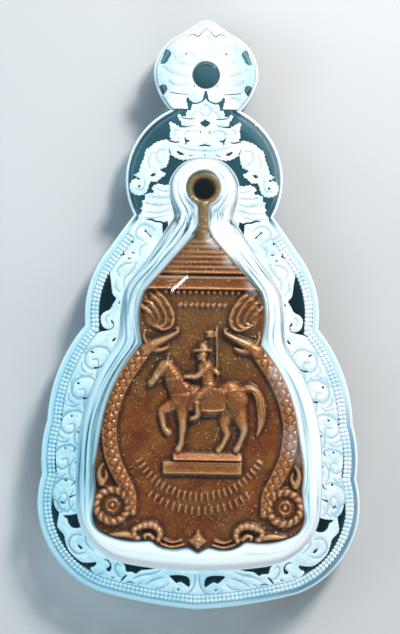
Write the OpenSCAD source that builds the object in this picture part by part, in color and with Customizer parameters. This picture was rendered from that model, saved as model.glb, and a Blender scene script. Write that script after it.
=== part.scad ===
// A struck coin medal sealed between two clear shells of bottle-gourd outline.
// It lies flat: the bail points along +Y, the front faces +Z, and the back dome rests on z = 0.

/* [Case] */
// Thickness of the flat flange of each shell
flange_t = 2.3; // [1.8:0.1:2.6]
// How far the front dome rises above its flange
front_rise = 2.16; // [1.9:0.02:2.6]
// How far the back dome rises above its flange
back_rise = 1.2; // [0.9:0.1:1.6]
// Gap left between the two shells
seam_gap = 0.04; // [0.02:0.01:0.1]
// Thickness of each dome over the coin
wall_t = 1.5; // [1.2:0.1:1.7]
// Diameter of the hole that a jump ring or cord passes through
bail_d = 3; // [2.2:0.1:3.6]
// Distance of the bail hole above the middle of the case
bail_y = 27.65; // [27:0.05:28]
// Height of the frosted ornament above the front flange
frost_h = 0.2; // [0.1:0.05:0.3]
// Width of the clear rim left outside the ornament
rim_w = 0.7; // [0.5:0.1:0.9]

/* [Coin] */
// Thickness of the coin's plate
plate_t = 2.5; // [2:0.1:2.8]
// Gap under the coin
coin_gap = 0.1; // [0.05:0.01:0.2]
// Height of the main relief above the plate: its forms are shares of this
relief_h = 1; // [0.6:0.1:1.2]
// Bars in the outer and inner curved rows below the plinth
bar_counts = [26, 17]; // [10:1:30]
// Pearls in the upper and lower rows of the crown
pearl_counts = [13, 9]; // [5:1:15]

/* [Hidden] */

// Points on each arc of an outline, and on each stretch of a smooth ridge
arc_steps = 5;
curve_steps = 2;
// Sides of small round forms
round_steps = 24;
// How far a solid runs into the one that carries it
sink = 0.2;
// How far a cut runs past the face that it opens
past = 0.5;

// Heights, from the face of the back dome up
back_flange_z = back_rise;
seam_z = back_flange_z + flange_t;
front_flange_z = seam_z + seam_gap;
flange_top = front_flange_z + flange_t;
dome_top = flange_top + front_rise;
coin_z = wall_t + coin_gap;
ceiling_z = dome_top - wall_t;

// Right half of the case's outline, from the bottom point up to the tip.
// A row is [x, y, bow], and bow is how far the arc to the next row bulges outward.
CASE = [
    [0, -34, 0.3], [11.5, -32.05, 1.7], [18.6, -22.6, 0.17], [18.15, -18.6, 0.33], [17.65, -12.4, 0.97],
    [13.45, -1.4, 0.93], [10.9, 7.4, 0.03], [8.05, 11.4, 2.72], [4.05, 23.6, 0.47], [6.05, 28, 0.56],
    [3.6, 32.05, -0.06], [1.1, 33.6, 0.12], [0, 34, 0]
];

// Right half of the dome where it meets the flange, and of the pocket inside it, row for row.
DOME = [
    [0, -29.5, 0.2], [9.2, -28.6, 0.85], [13.9, -23.6, 0.15], [14.1, -16.5, 1.15], [9.45, -3.2, 0.2],
    [8.9, 3.2, -0.3], [4.1, 10.2, 0], [3, 11.3, 2.54], [0, 18.3, 0]
];
POCKET = [
    [0, -28, 0.15], [8.8, -27.2, 0.8], [12.85, -23.4, 0], [12.55, -17, 1.45], [7.35, -3.2, 0.55],
    [7.3, 3, 0], [1.8, 9.3, -0.15], [1.25, 12.2, 2.2], [0, 17.2, 0]
];

// Right half of the coin's outline, with its hanging loop at the top.
COIN = [
    [0, -27.6, 0], [1.3, -26.9, 0.4], [4.9, -26.65, 0], [5.6, -26.2, 0.55], [11.5, -25.2, 0.3],
    [12.45, -22.8, -0.05], [12.1, -19.8, 0.1], [12.15, -17, 0], [11.5, -13, 0.83], [7, -3.3, 0.5],
    [6.9, 2.7, 0], [1.4, 9, 0], [0.8, 10.2, 0], [0.8, 12.55, 1.79], [0, 16.8, 0]
];
loop_y = 14.6;
loop_hole_r = 1.2;

// Arc from p towards q, without q
function arc(p, q, bow) =
    let (way = [q.x - p.x, q.y - p.y], run = norm(way), u = way / run, out = [u.y, -u.x])
    [for (i = [0:arc_steps - 1])
        let (t = i / arc_steps)
        abs(bow) < 0.001 ? [p.x, p.y] + way * t :
        let (
            half_angle = 2 * atan(2 * bow / run),
            radius = run / 2 / sin(half_angle),
            turn = half_angle * (2 * t - 1)
        )
        [p.x, p.y] + u * (run / 2 + radius * sin(turn)) + out * radius * (cos(turn) - cos(half_angle))];

function half_outline(rows) =
    let (last = len(rows) - 1)
    concat([for (i = [0:last - 1]) each arc(rows[i], rows[i + 1], rows[i].z)], [[0, rows[last].y]]);

// Whole outline: up the right half, then down its mirror image
function outline(rows) =
    let (right = half_outline(rows))
    concat(right, [for (i = [len(right) - 2:-1:1]) [-right[i].x, right[i].y]]);

function blend(a, b, share) = [for (i = [0:len(a) - 1]) a[i] * (1 - share) + b[i] * share];
function at_height(ring, z) = [for (p = ring) [p.x, p.y, z]];

// Smooth curve through rows of any length
function between(a, b, c, d, t) =
    (2 * b + (c - a) * t + (2 * a - 5 * b + 4 * c - d) * t ^ 2 + (3 * b - a - 3 * c + d) * t ^ 3) / 2;
function open_curve(rows, steps = curve_steps) =
    let (last = len(rows) - 1)
    concat([for (i = [0:last - 1], j = [0:steps - 1])
        between(rows[max(i - 1, 0)], rows[i], rows[i + 1], rows[min(i + 2, last)], j / steps)], [rows[last]]);

// Solid between mirrored rings of equal length, given in either order.
// A ladder of quads closes each end.
module loft(given) {
    up = given[len(given) - 1][0].z > given[0][0].z;
    rings = up ? given : [for (i = [len(given) - 1:-1:0]) given[i]];
    n = len(rings[0]);
    h = n / 2;
    last = (len(rings) - 1) * n;
    ladder = concat(
        [[0, 1, n - 1]],
        [for (i = [1:h - 2]) [i, i + 1, n - i - 1, n - i]],
        [[h - 1, h, h + 1]]
    );
    sides = [for (k = [0:len(rings) - 2], i = [0:n - 1])
        let (j = (i + 1) % n, a = k * n)
        each [[a + i, a + n + i, a + j], [a + j, a + n + i, a + n + j]]];
    lid = [for (f = ladder) [for (i = [len(f) - 1:-1:0]) last + f[i]]];
    polyhedron(points = [for (r = rings) each r], faces = concat(ladder, sides, lid));
}

module pair() {
    children();
    mirror([1, 0, 0]) children();
}

// Dome that rises from the flange in a quarter ellipse
module dome(base_z, top_z) {
    base = outline(DOME);
    top = outline(POCKET);
    loft(concat(
        [at_height(base, base_z - sink * sign(top_z - base_z))],
        [for (a = [0:18:90]) at_height(blend(base, top, 1 - cos(a)), base_z + (top_z - base_z) * sin(a))]
    ));
}

// Pocket cut into a shell from the seam, with eased edges at its end
module pocket(open_z, end_z) {
    ease = 0.2;
    end_share = 0.99;
    side = sign(end_z - open_z);
    wide = outline(POCKET);
    narrow = wide * end_share;
    loft([
        at_height(wide, open_z - side * past), at_height(wide, end_z - side * ease), at_height(narrow, end_z)
    ]);
}

module bail_hole() {
    translate([0, bail_y, -past]) cylinder(d = bail_d, h = dome_top + 2 * past, $fn = 64);
}

// Frosted ornament. Tables give its right half. Closed shapes are rows of [x, y].
LOTUS = [
    [0, 25.1], [0.25, 24.75], [0.7, 24.2], [1.25, 24.05], [1.75, 23.6], [2.15, 23.5], [2.25, 22.95],
    [2.6, 22.85], [3.1, 23.15], [3.15, 22.7], [2.85, 22.3], [2.75, 21.85], [3.1, 21.75], [3.7, 22.1],
    [4.15, 22.2], [4.05, 21.6], [4, 21.1], [4.1, 20.6], [3.9, 20.1], [4.3, 19.6], [4.1, 18.7],
    [3.5, 18.15], [2.5, 17.8], [1.2, 18.05], [0, 18.1]
];
ELEPHANT = [
    [3.6, 19.9], [4.3, 20.15], [5, 20.05], [5.75, 19.75], [6.25, 19.3], [6.8, 18.9], [7, 18],
    [7.35, 17.2], [7.6, 16.3], [8.15, 16.05], [7.9, 15.85], [7.4, 15.55], [7.5, 15.45], [7.95, 15.6],
    [8.4, 15.3], [8.6, 14.7], [8.35, 14], [7.6, 13.65], [6.9, 13.8], [6.5, 14.3], [6.35, 14.9],
    [6.1, 15.3], [5.5, 15.25], [5, 15.7], [4.45, 16.1], [4.6, 16.35], [5.05, 16.55], [4.95, 16.8],
    [4.45, 16.95], [4.15, 17.6], [4, 18.4]
];
FAN = [
    [3.4, 14.7], [4.6, 14.9], [5.3, 15.05], [5.95, 14.7], [6, 14.4], [5.75, 14.05], [6.3, 13.95],
    [6.85, 13.7], [6.75, 13.3], [7.15, 13], [7, 12.6], [7.25, 12.2], [7.1, 11.8], [7.45, 11.4],
    [7.5, 10.8], [6.6, 10.8], [5.8, 10.9], [5.2, 10.65], [4.6, 10.5], [4.1, 10.6], [3, 11.2], [3.6, 12]
];

// Clear gaps in the ornament
GAPS = [
    // Bail lobe
    [[4.55, 30.35], [4.25, 30.05], [4.5, 29.6], [4.7, 29.2], [5.05, 29.05], [4.85, 29.6]],
    [[4.6, 26.4], [5.2, 26.45], [5.4, 25.9], [5.15, 25.25], [4.75, 25.4], [4.45, 25.9]],
    [
        [2.05, 25.1], [1.85, 24.8], [1.5, 24.45], [1.65, 23.9], [1.85, 23.7], [2.05, 23.9], [2.1, 24.3],
        [2.25, 24.8]
    ],
    // Lotus
    [
        [0, 22.55], [0.28, 22.35], [0.6, 22.2], [0.4, 21.85], [0, 21.65], [-0.4, 21.85], [-0.6, 22.2],
        [-0.28, 22.35]
    ],
    [[1.5, 20], [2.1, 20.2], [2.45, 20.55], [2.3, 20], [2.2, 19.5], [2, 19.9]],
    [[3.25, 18.85], [2.8, 18.75], [2.35, 18.45], [2.9, 18.4]],
    // Elephant's eye and trunk
    [[5.55, 16.2], [5.95, 16.25], [6.25, 15.95], [5.85, 15.85]],
    [[7.35, 14.85], [7.55, 14.85], [7.65, 14.6], [7.4, 14.55]],
    // Shoulder
    [[4.15, 10.75], [4.6, 10.55], [4.75, 10.15], [4.6, 9.2], [4.1, 9.9]],
    [[9.2, 7.2], [9.35, 6.95], [9.6, 6.7], [9.3, 6.7], [9, 6.8]],
    [
        [10.8, 5], [11.05, 4.3], [11.4, 3.5], [11.65, 2.6], [11.85, 1.2], [11.9, 0], [11.85, -1.2],
        [11.8, -2], [11.3, -1.95], [10.75, -1.85], [11.3, -1.6], [11.6, -1], [11.6, -0.3], [11.2, 0.15],
        [10.6, 0.45], [10.25, 1.1], [9.9, 1.75], [10.3, 2.2], [10.45, 3], [10.55, 3.9]
    ],
    [[10.35, -0.75], [10.5, -0.85], [10.3, -1.2], [10.1, -1.1]],
    [[9.45, 1.45], [9.6, 1.4], [9.65, 1.05], [9.5, 1.15]],
    [[8.9, -2.1], [9.4, -2.7], [9.85, -3.7], [9.3, -3.5]],
    // Lower corner
    [
        [16.85, -21.2], [16.95, -22], [17, -23.2], [17, -24.2], [16.5, -25.3], [15.9, -26.4],
        [15.2, -27.5], [14.3, -28.6], [13.4, -29.1], [12.7, -29.5], [12, -30], [12.35, -29.4],
        [11.85, -29.15], [11.65, -28.7], [12.5, -28.75], [13.3, -28.7], [14.1, -28.15], [14.9, -27.3],
        [15.3, -26.2], [15.45, -25.6], [16.2, -24.7], [16.15, -23.8], [16.05, -23], [16.5, -22.5]
    ],
    [
        [13.7, -23.2], [14.7, -23.3], [15.5, -23.35], [15.5, -23.55], [15.1, -23.8], [14.95, -24.3],
        [14.4, -24.8], [13.5, -24.6]
    ],
    [[15.3, -22], [15.6, -21.8], [15.85, -21.6], [15.8, -21.9], [15.5, -22.05]],
    [[13.25, -27.1], [13.6, -26.75], [13.85, -26.6], [13.75, -27], [13.45, -27.25]],
    // Hook and leaf row along the bottom
    [[9.95, -28.95], [10.2, -29.2], [10.5, -29.4], [10.4, -29.7], [10.05, -29.7], [9.9, -29.3]],
    [[9.5, -30.3], [9.8, -30.4], [10.05, -30.4], [9.8, -30.55], [9.55, -30.45]],
    [
        [4.9, -29.2], [5.6, -29.45], [6.5, -29.55], [7.1, -29.95], [7.5, -29.75], [8.2, -29.7],
        [8.35, -29.1], [8.8, -28.45], [8, -28.3], [6, -28.8]
    ],
    [
        [1, -30.3], [1.6, -30.05], [2.4, -30], [3.25, -30.1], [2.9, -30.5], [2.4, -30.95], [1.9, -30.8],
        [1.4, -31.1], [0.95, -31.4], [0.8, -31]
    ],
    [[2.05, -31.65], [2.25, -31.5], [2.3, -31.7], [2.1, -31.85]]
];

// Broad frosted ground: the whole bail lobe, and the flange below the head lobe
module frosted_ground() {
    neck_y = 23.75;
    shoulder_y = 10.85;
    reach = 40;
    intersection() {
        offset(delta = -rim_w / 2) polygon(outline(CASE));
        translate([-reach, neck_y]) square([2 * reach, reach]);
    }
    difference() {
        intersection() {
            offset(delta = -rim_w) polygon(outline(CASE));
            translate([-reach, shoulder_y - reach * 2]) square([2 * reach, 2 * reach]);
        }
        polygon(outline(DOME));
    }
}

module ornament() {
    difference() {
        union() {
            frosted_ground();
            pair() for (shape = [LOTUS, ELEPHANT, FAN]) polygon(shape);
        }
        pair() for (shape = GAPS) polygon(shape);
    }
}

module case_front() {
    color("lightcyan", 0.6) difference() {
        union() {
            translate([0, 0, front_flange_z]) linear_extrude(flange_t) polygon(outline(CASE));
            dome(flange_top, dome_top);
            translate([0, 0, flange_top - sink]) linear_extrude(frost_h + sink) ornament();
        }
        pocket(front_flange_z, ceiling_z);
        bail_hole();
    }
}

module case_back() {
    color("lightcyan", 0.6) difference() {
        union() {
            translate([0, 0, back_flange_z]) linear_extrude(flange_t) polygon(outline(CASE));
            dome(back_flange_z, 0);
        }
        pocket(seam_z, wall_t);
        bail_hole();
    }
}

// Low ridge along rows of [x, y, half width], standing on the coin's plate
module ridge(rows, height) {
    for (i = [0:len(rows) - 2]) hull() {
        bump(rows[i], height);
        bump(rows[i + 1], height);
    }
}

// Blunt low cone on a row of [x, y, radius]; its height is a share of the relief
module bump(row, height) {
    sides = 8;
    flat_share = 0.35;
    rise = height * relief_h;
    translate([row.x, row.y, -sink])
        cylinder(h = rise + sink, r1 = row.z, r2 = row.z * flat_share, $fn = sides);
}

// Plate with a chamfered edge, the loop's raised lip and its hole
module plate() {
    chamfer = 0.25;
    lip_h = 0.26;
    lip_foot_r = 2.08;
    lip_top_r = 1.92;
    difference() {
        union() {
            linear_extrude(plate_t - chamfer) polygon(outline(COIN));
            linear_extrude(plate_t) offset(delta = -chamfer) polygon(outline(COIN));
            translate([0, loop_y, plate_t - sink])
                cylinder(h = lip_h + sink, r1 = lip_foot_r, r2 = lip_top_r, $fn = round_steps);
        }
        translate([0, loop_y, -past])
            cylinder(h = plate_t + lip_h + 2 * past, r = loop_hole_r, $fn = round_steps);
    }
}

// Stem, stepped finial, a plain band between two beads, and two rows of pearls
module crown() {
    steps = 7;
    first_y = 4.95;
    step = 0.58;
    half_w = 0.2;
    height = 0.8;
    fall = 0.05;
    ridge([[0, 8.8, 0.85], [0, 12.7, 0.75]], 0.42);
    for (i = [0:steps - 1]) across(first_y + i * step, half_w, height - i * fall);
    across(4.4, 0.16, 0.75);
    across(3.75, 0.85, 0.55);
    across(3.05, 0.14, 0.7);
    pearl_row(pearl_counts[0], 4.2, 2.6);
    pearl_row(pearl_counts[1], 2.6, 1.1);
}

// Ridge right across the head of the coin
module across(y, half_w, height) {
    reach = 7;
    ridge([[-reach, y, half_w], [reach, y, half_w]], height);
}

module pearl_row(count, half_length, y) {
    pearl_r = 0.24;
    pearl_h = 0.55;
    for (i = [0:count - 1]) bump([half_length * (2 * i / (count - 1) - 1), y, pearl_r], pearl_h);
}

// Curved ribs of the serpent's flame crest, right side, as rows of [x, y, half width]
CREST = [
    [
        [5.2, 2.4, 0.1], [4.3, 1.6, 0.2], [3.6, 0.6, 0.25], [3.4, -0.3, 0.26], [3.7, -1.2, 0.25],
        [4.5, -1.5, 0.22], [5.3, -1.3, 0.18], [5.9, -0.6, 0.1]
    ],
    [
        [5.8, 2, 0.1], [4.9, 1.2, 0.18], [4.2, 0.2, 0.22], [4.3, -0.65, 0.2], [4.9, -0.85, 0.17],
        [5.5, -0.4, 0.1]
    ],
    [[6.3, 1.5, 0.1], [5.4, 0.8, 0.17], [4.9, 0.1, 0.18], [5.15, -0.25, 0.15], [5.6, 0.1, 0.1]],
    [[6.6, 0.8, 0.1], [6.2, 0.3, 0.16], [6.15, -0.3, 0.15], [6.4, -1, 0.1]]
];

// Serpent that frames the field: a body along the edge, an open mouth, and a flame crest
module naga() {
    ridge(open_curve([
        [6.4, -4.1, 0.75], [7.6, -5.7, 0.8], [8.9, -7.7, 0.85], [9.9, -10, 0.88], [10.5, -13, 0.9],
        [10.1, -16.4, 0.9], [9, -18.9, 0.85], [8, -20.8, 0.75], [7.6, -22.9, 0.5]
    ]), 0.75);
    ridge([[6.3, -4, 0.75], [4.9, -3.2, 0.6], [3.6, -2.5, 0.35], [2.7, -2, 0.15]], 0.9);
    ridge([[6.2, -3.8, 0.7], [4.9, -4, 0.35], [3.9, -3.8, 0.2]], 0.6);
    for (rib = CREST) ridge(rib, 0.62);
}

// Round flower in the corner: a dished ring under short slanted leaves, and a boss
module rosette() {
    centre = [10, -22.2];
    foot_r = 2.2;
    top_r = 1.75;
    dish_foot_r = 1.05;
    dish_top_r = 1.4;
    height = 0.75;
    translate([centre.x, centre.y, -sink]) difference() {
        cylinder(h = height * relief_h + sink, r1 = foot_r, r2 = top_r, $fn = round_steps);
        translate([0, 0, sink]) cylinder(h = relief_h, r1 = dish_foot_r, r2 = dish_top_r, $fn = round_steps);
    }
    bump([centre.x, centre.y, 0.6], 0.55);
    leaf_ring(centre);
}

module leaf_ring(centre) {
    leaves = 14;
    inner_r = 1.5;
    outer_r = 2.1;
    slant = 14;
    for (i = [0:leaves - 1]) {
        a = i * 360 / leaves;
        ridge([
            [centre.x + inner_r * cos(a), centre.y + inner_r * sin(a), 0.12],
            [centre.x + outer_r * cos(a + slant), centre.y + outer_r * sin(a + slant), 0.2]
        ], 0.9);
    }
}

// Flame above the rosette, and the scroll, swag and leaf along the bottom edge
module border() {
    ridge([[11.2, -19.6, 0.5], [11.5, -18.6, 0.32], [11.1, -17.4, 0.12]], 0.7);
    ridge(open_curve([
        [7, -26, 0.4], [7.4, -25.1, 0.4], [6.4, -24.5, 0.45], [5.2, -24.5, 0.5], [4.4, -25.2, 0.45],
        [4.6, -26.1, 0.35]
    ]), 0.9);
    ridge([[6.9, -25.9, 0.4], [8.2, -25.6, 0.45], [9.8, -25.7, 0.2]], 0.7);
    ridge([[5.3, -25.9, 0.35], [6.2, -25.7, 0.3]], 0.6);
    ridge([[4.3, -26.5, 0.16], [3.1, -26.9, 0.18], [1.7, -26.6, 0.16]], 0.6);
    ridge([[4, -26, 0.12], [3, -26.35, 0.13], [1.9, -26.1, 0.12]], 0.5);
}

module pendant() {
    hull() {
        bump([0, -25.4, 0.5], 0.6);
        bump([0, -26.9, 0.45], 0.6);
        bump([0.75, -26.2, 0.45], 0.6);
        bump([-0.75, -26.2, 0.45], 0.6);
    }
    bump([0, -26.2, 0.5], 0.95);
}

// Two curved rows of plain bars below the plinth
module bars() {
    // Each row: radius, half its angle, length of a bar
    rows = [[8, 61, 0.85], [9.6, 36, 0.8]];
    for (k = [0:1], i = [0:bar_counts[k] - 1]) bar(rows[k], 2 * i / (bar_counts[k] - 1) - 1);
}

module bar(row, share) {
    centre_y = -13.1;
    bar_w = 0.22;
    bar_h = 0.35;
    translate([0, centre_y, -sink]) rotate(row[1] * share - 90)
        translate([row[0] - row[2] / 2, -bar_w / 2, 0]) cube([row[2], bar_w, bar_h * relief_h + sink]);
}

module plinth() {
    slab(-4.3, 5, -18.5, 1.6, 0.75);
    slab(-3.1, 5, -16.9, 0.95, 0.95);
}

module slab(left, right, low, tall, height) {
    ease = 0.15;
    hull() {
        translate([left, low, -sink]) cube([right - left, tall, sink]);
        translate([left + ease, low + ease, 0])
            cube([right - left - 2 * ease, tall - 2 * ease, height * relief_h]);
    }
}

// Plain mounted rider: a horse at a walk, and a rider with a cap and an upright pennon
module rider() {
    // Barrel, neck, head and ear of the horse
    ridge([[-1.7, -9.5, 1.65], [0.8, -9.9, 1.85], [3.4, -9.6, 1.95]], 0.92);
    ridge([[-2, -8.9, 1.55], [-3.2, -7.3, 1.15], [-3.95, -6, 0.9]], 0.92);
    ridge([[-4.2, -5.95, 0.82], [-5.1, -7.1, 0.58], [-5.7, -7.9, 0.46]], 1);
    ridge([[-3.9, -5.6, 0.3], [-3.8, -4.9, 0.1]], 0.8);
    // Legs, one forefoot lifted, and the tail
    ridge([[-2.1, -10.5, 0.95], [-2, -12.7, 0.53], [-2.1, -14.9, 0.4], [-2.4, -15.6, 0.46]], 0.88);
    ridge([[-2.7, -10.2, 0.95], [-4.4, -11.2, 0.56], [-4.2, -12.9, 0.4], [-3.7, -13.6, 0.44]], 0.66);
    ridge([[4, -10.2, 1.4], [4.7, -12.2, 0.8], [5.1, -13.3, 0.53], [4.3, -15.55, 0.46]], 0.88);
    ridge([[3.2, -10.8, 1.1], [2.8, -12.8, 0.58], [3.1, -13.8, 0.44], [2.25, -15.6, 0.44]], 0.62);
    ridge(open_curve([
        [4.9, -8.6, 0.5], [6.2, -8.6, 0.45], [7, -10.2, 0.6], [7, -12.4, 0.5], [6.7, -13.8, 0.2]
    ]), 0.6);
    // Saddle cloth
    hull() {
        bump([0.2, -8.4, 0.5], 1.05);
        bump([2.3, -8.4, 0.5], 1.05);
        bump([2.5, -10.8, 0.4], 1.05);
        bump([0.3, -10.9, 0.4], 1.05);
    }
    // Leg, body, near and far arm, rein, head and cap of the rider
    ridge([[1, -8.4, 0.82], [-0.4, -9.6, 0.6], [-0.3, -11.6, 0.42], [-0.95, -12, 0.3]], 1.22);
    ridge([[1.05, -8, 0.98], [0.55, -6.1, 1]], 1.1);
    ridge([[0.6, -6, 0.55], [-0.45, -7.1, 0.42], [-1.75, -7.15, 0.32]], 1.22);
    ridge([[0.9, -5.9, 0.46], [1.95, -6.7, 0.34]], 0.74);
    ridge([[-1.7, -7.2, 0.14], [-5.2, -7.5, 0.1]], 1.05);
    bump([0.2, -4.65, 0.7], 1.08);
    ridge([[-0.85, -4.1, 0.2], [1.15, -4.1, 0.2]], 1.2);
    bump([0.28, -3.75, 0.62], 1.14);
    // Lance and pennon
    ridge([[1.95, -9.2, 0.13], [1.75, -1.6, 0.13]], 0.6);
    ridge([[1.5, -2.15, 0.42], [0.4, -2.15, 0.28]], 0.42);
}

module relief() {
    crown();
    pair() {
        naga();
        rosette();
        border();
    }
    pendant();
    bars();
    plinth();
    rider();
}

// The relief ends just inside the coin's edge
module coin() {
    inset = 0.12;
    color("peru") translate([0, 0, coin_z]) union() {
        plate();
        translate([0, 0, plate_t]) intersection() {
            relief();
            translate([0, 0, -sink])
                linear_extrude(2 * relief_h) offset(delta = -inset) polygon(outline(COIN));
        }
    }
}

case_front();
case_back();
coin();
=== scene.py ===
"""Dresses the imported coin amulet: clear shells, frosted ornament, pearl border and the struck bronze coin."""

import math

import bpy
import numpy as np
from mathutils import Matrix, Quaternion, Vector, geometry, kdtree, noise


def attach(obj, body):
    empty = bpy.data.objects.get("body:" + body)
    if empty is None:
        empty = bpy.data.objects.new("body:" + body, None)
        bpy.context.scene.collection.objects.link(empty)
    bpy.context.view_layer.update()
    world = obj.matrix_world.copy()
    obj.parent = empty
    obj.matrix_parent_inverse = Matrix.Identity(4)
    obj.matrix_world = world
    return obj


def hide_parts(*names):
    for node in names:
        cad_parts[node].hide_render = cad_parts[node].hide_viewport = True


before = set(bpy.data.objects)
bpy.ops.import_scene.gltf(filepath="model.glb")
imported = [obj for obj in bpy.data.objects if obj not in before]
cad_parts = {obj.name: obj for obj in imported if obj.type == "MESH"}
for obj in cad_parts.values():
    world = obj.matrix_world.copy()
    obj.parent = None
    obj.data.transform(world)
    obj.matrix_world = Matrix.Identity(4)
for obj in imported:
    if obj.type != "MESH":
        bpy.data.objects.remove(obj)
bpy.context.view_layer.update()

MM = 0.001

# Heights of the case in mm, as in the solids
WALL = 1.5
BACK_FLANGE = 1.2
SEAM = 3.5
FRONT_FLANGE = 3.54
FLANGE_TOP = 5.84
DOME_TOP = 8.0
CEILING = DOME_TOP - WALL
FROST = 0.2
RIM = 0.7
BAIL = (0.0, 27.65)
BAIL_R = 1.5
# The lobe above the neck and the field below the shoulders are frosted, with single shapes between
NECK_Y = 23.75
SHOULDER_Y = 10.85

# Heights and loop of the coin in mm
COIN_Z = 1.6
PLATE = 2.5
LOOP = (0.0, 14.6)
LOOP_HOLE_R = 1.2

# Right halves of the outlines, from bottom to top. A row is x, y and the bow of the arc to the next row.
CASE = [
    (0, -34, 0.3), (11.5, -32.05, 1.7), (18.6, -22.6, 0.17), (18.15, -18.6, 0.33), (17.65, -12.4, 0.97),
    (13.45, -1.4, 0.93), (10.9, 7.4, 0.03), (8.05, 11.4, 2.72), (4.05, 23.6, 0.47), (6.05, 28, 0.56),
    (3.6, 32.05, -0.06), (1.1, 33.6, 0.12), (0, 34, 0),
]
DOME = [
    (0, -29.5, 0.2), (9.2, -28.6, 0.85), (13.9, -23.6, 0.15), (14.1, -16.5, 1.15), (9.45, -3.2, 0.2),
    (8.9, 3.2, -0.3), (4.1, 10.2, 0), (3, 11.3, 2.54), (0, 18.3, 0),
]
POCKET = [
    (0, -28, 0.15), (8.8, -27.2, 0.8), (12.85, -23.4, 0), (12.55, -17, 1.45), (7.35, -3.2, 0.55),
    (7.3, 3, 0), (1.8, 9.3, -0.15), (1.25, 12.2, 2.2), (0, 17.2, 0),
]
COIN = [
    (0, -27.6, 0), (1.3, -26.9, 0.4), (4.9, -26.65, 0), (5.6, -26.2, 0.55), (11.5, -25.2, 0.3),
    (12.45, -22.8, -0.05), (12.1, -19.8, 0.1), (12.15, -17, 0), (11.5, -13, 0.83), (7, -3.3, 0.5),
    (6.9, 2.7, 0), (1.4, 9, 0), (0.8, 10.2, 0), (0.8, 12.55, 1.79), (0, 16.8, 0),
]

# Frosted shapes between shoulders and neck, right half
LOTUS = [
    (0, 25.1), (0.25, 24.75), (0.7, 24.2), (1.25, 24.05), (1.75, 23.6), (2.15, 23.5), (2.25, 22.95),
    (2.6, 22.85), (3.1, 23.15), (3.15, 22.7), (2.85, 22.3), (2.75, 21.85), (3.1, 21.75), (3.7, 22.1),
    (4.15, 22.2), (4.05, 21.6), (4, 21.1), (4.1, 20.6), (3.9, 20.1), (4.3, 19.6), (4.1, 18.7),
    (3.5, 18.15), (2.5, 17.8), (1.2, 18.05), (0, 18.1),
]
ELEPHANT = [
    (3.6, 19.9), (4.3, 20.15), (5, 20.05), (5.75, 19.75), (6.25, 19.3), (6.8, 18.9), (7, 18), (7.35, 17.2),
    (7.6, 16.3), (8.15, 16.05), (7.9, 15.85), (7.4, 15.55), (7.5, 15.45), (7.95, 15.6), (8.4, 15.3),
    (8.6, 14.7), (8.35, 14), (7.6, 13.65), (6.9, 13.8), (6.5, 14.3), (6.35, 14.9), (6.1, 15.3),
    (5.5, 15.25), (5, 15.7), (4.45, 16.1), (4.6, 16.35), (5.05, 16.55), (4.95, 16.8), (4.45, 16.95),
    (4.15, 17.6), (4, 18.4),
]
FAN = [
    (3.4, 14.7), (4.6, 14.9), (5.3, 15.05), (5.95, 14.7), (6, 14.4), (5.75, 14.05), (6.3, 13.95),
    (6.85, 13.7), (6.75, 13.3), (7.15, 13), (7, 12.6), (7.25, 12.2), (7.1, 11.8), (7.45, 11.4),
    (7.5, 10.8), (6.6, 10.8), (5.8, 10.9), (5.2, 10.65), (4.6, 10.5), (4.1, 10.6), (3, 11.2), (3.6, 12),
]

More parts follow.
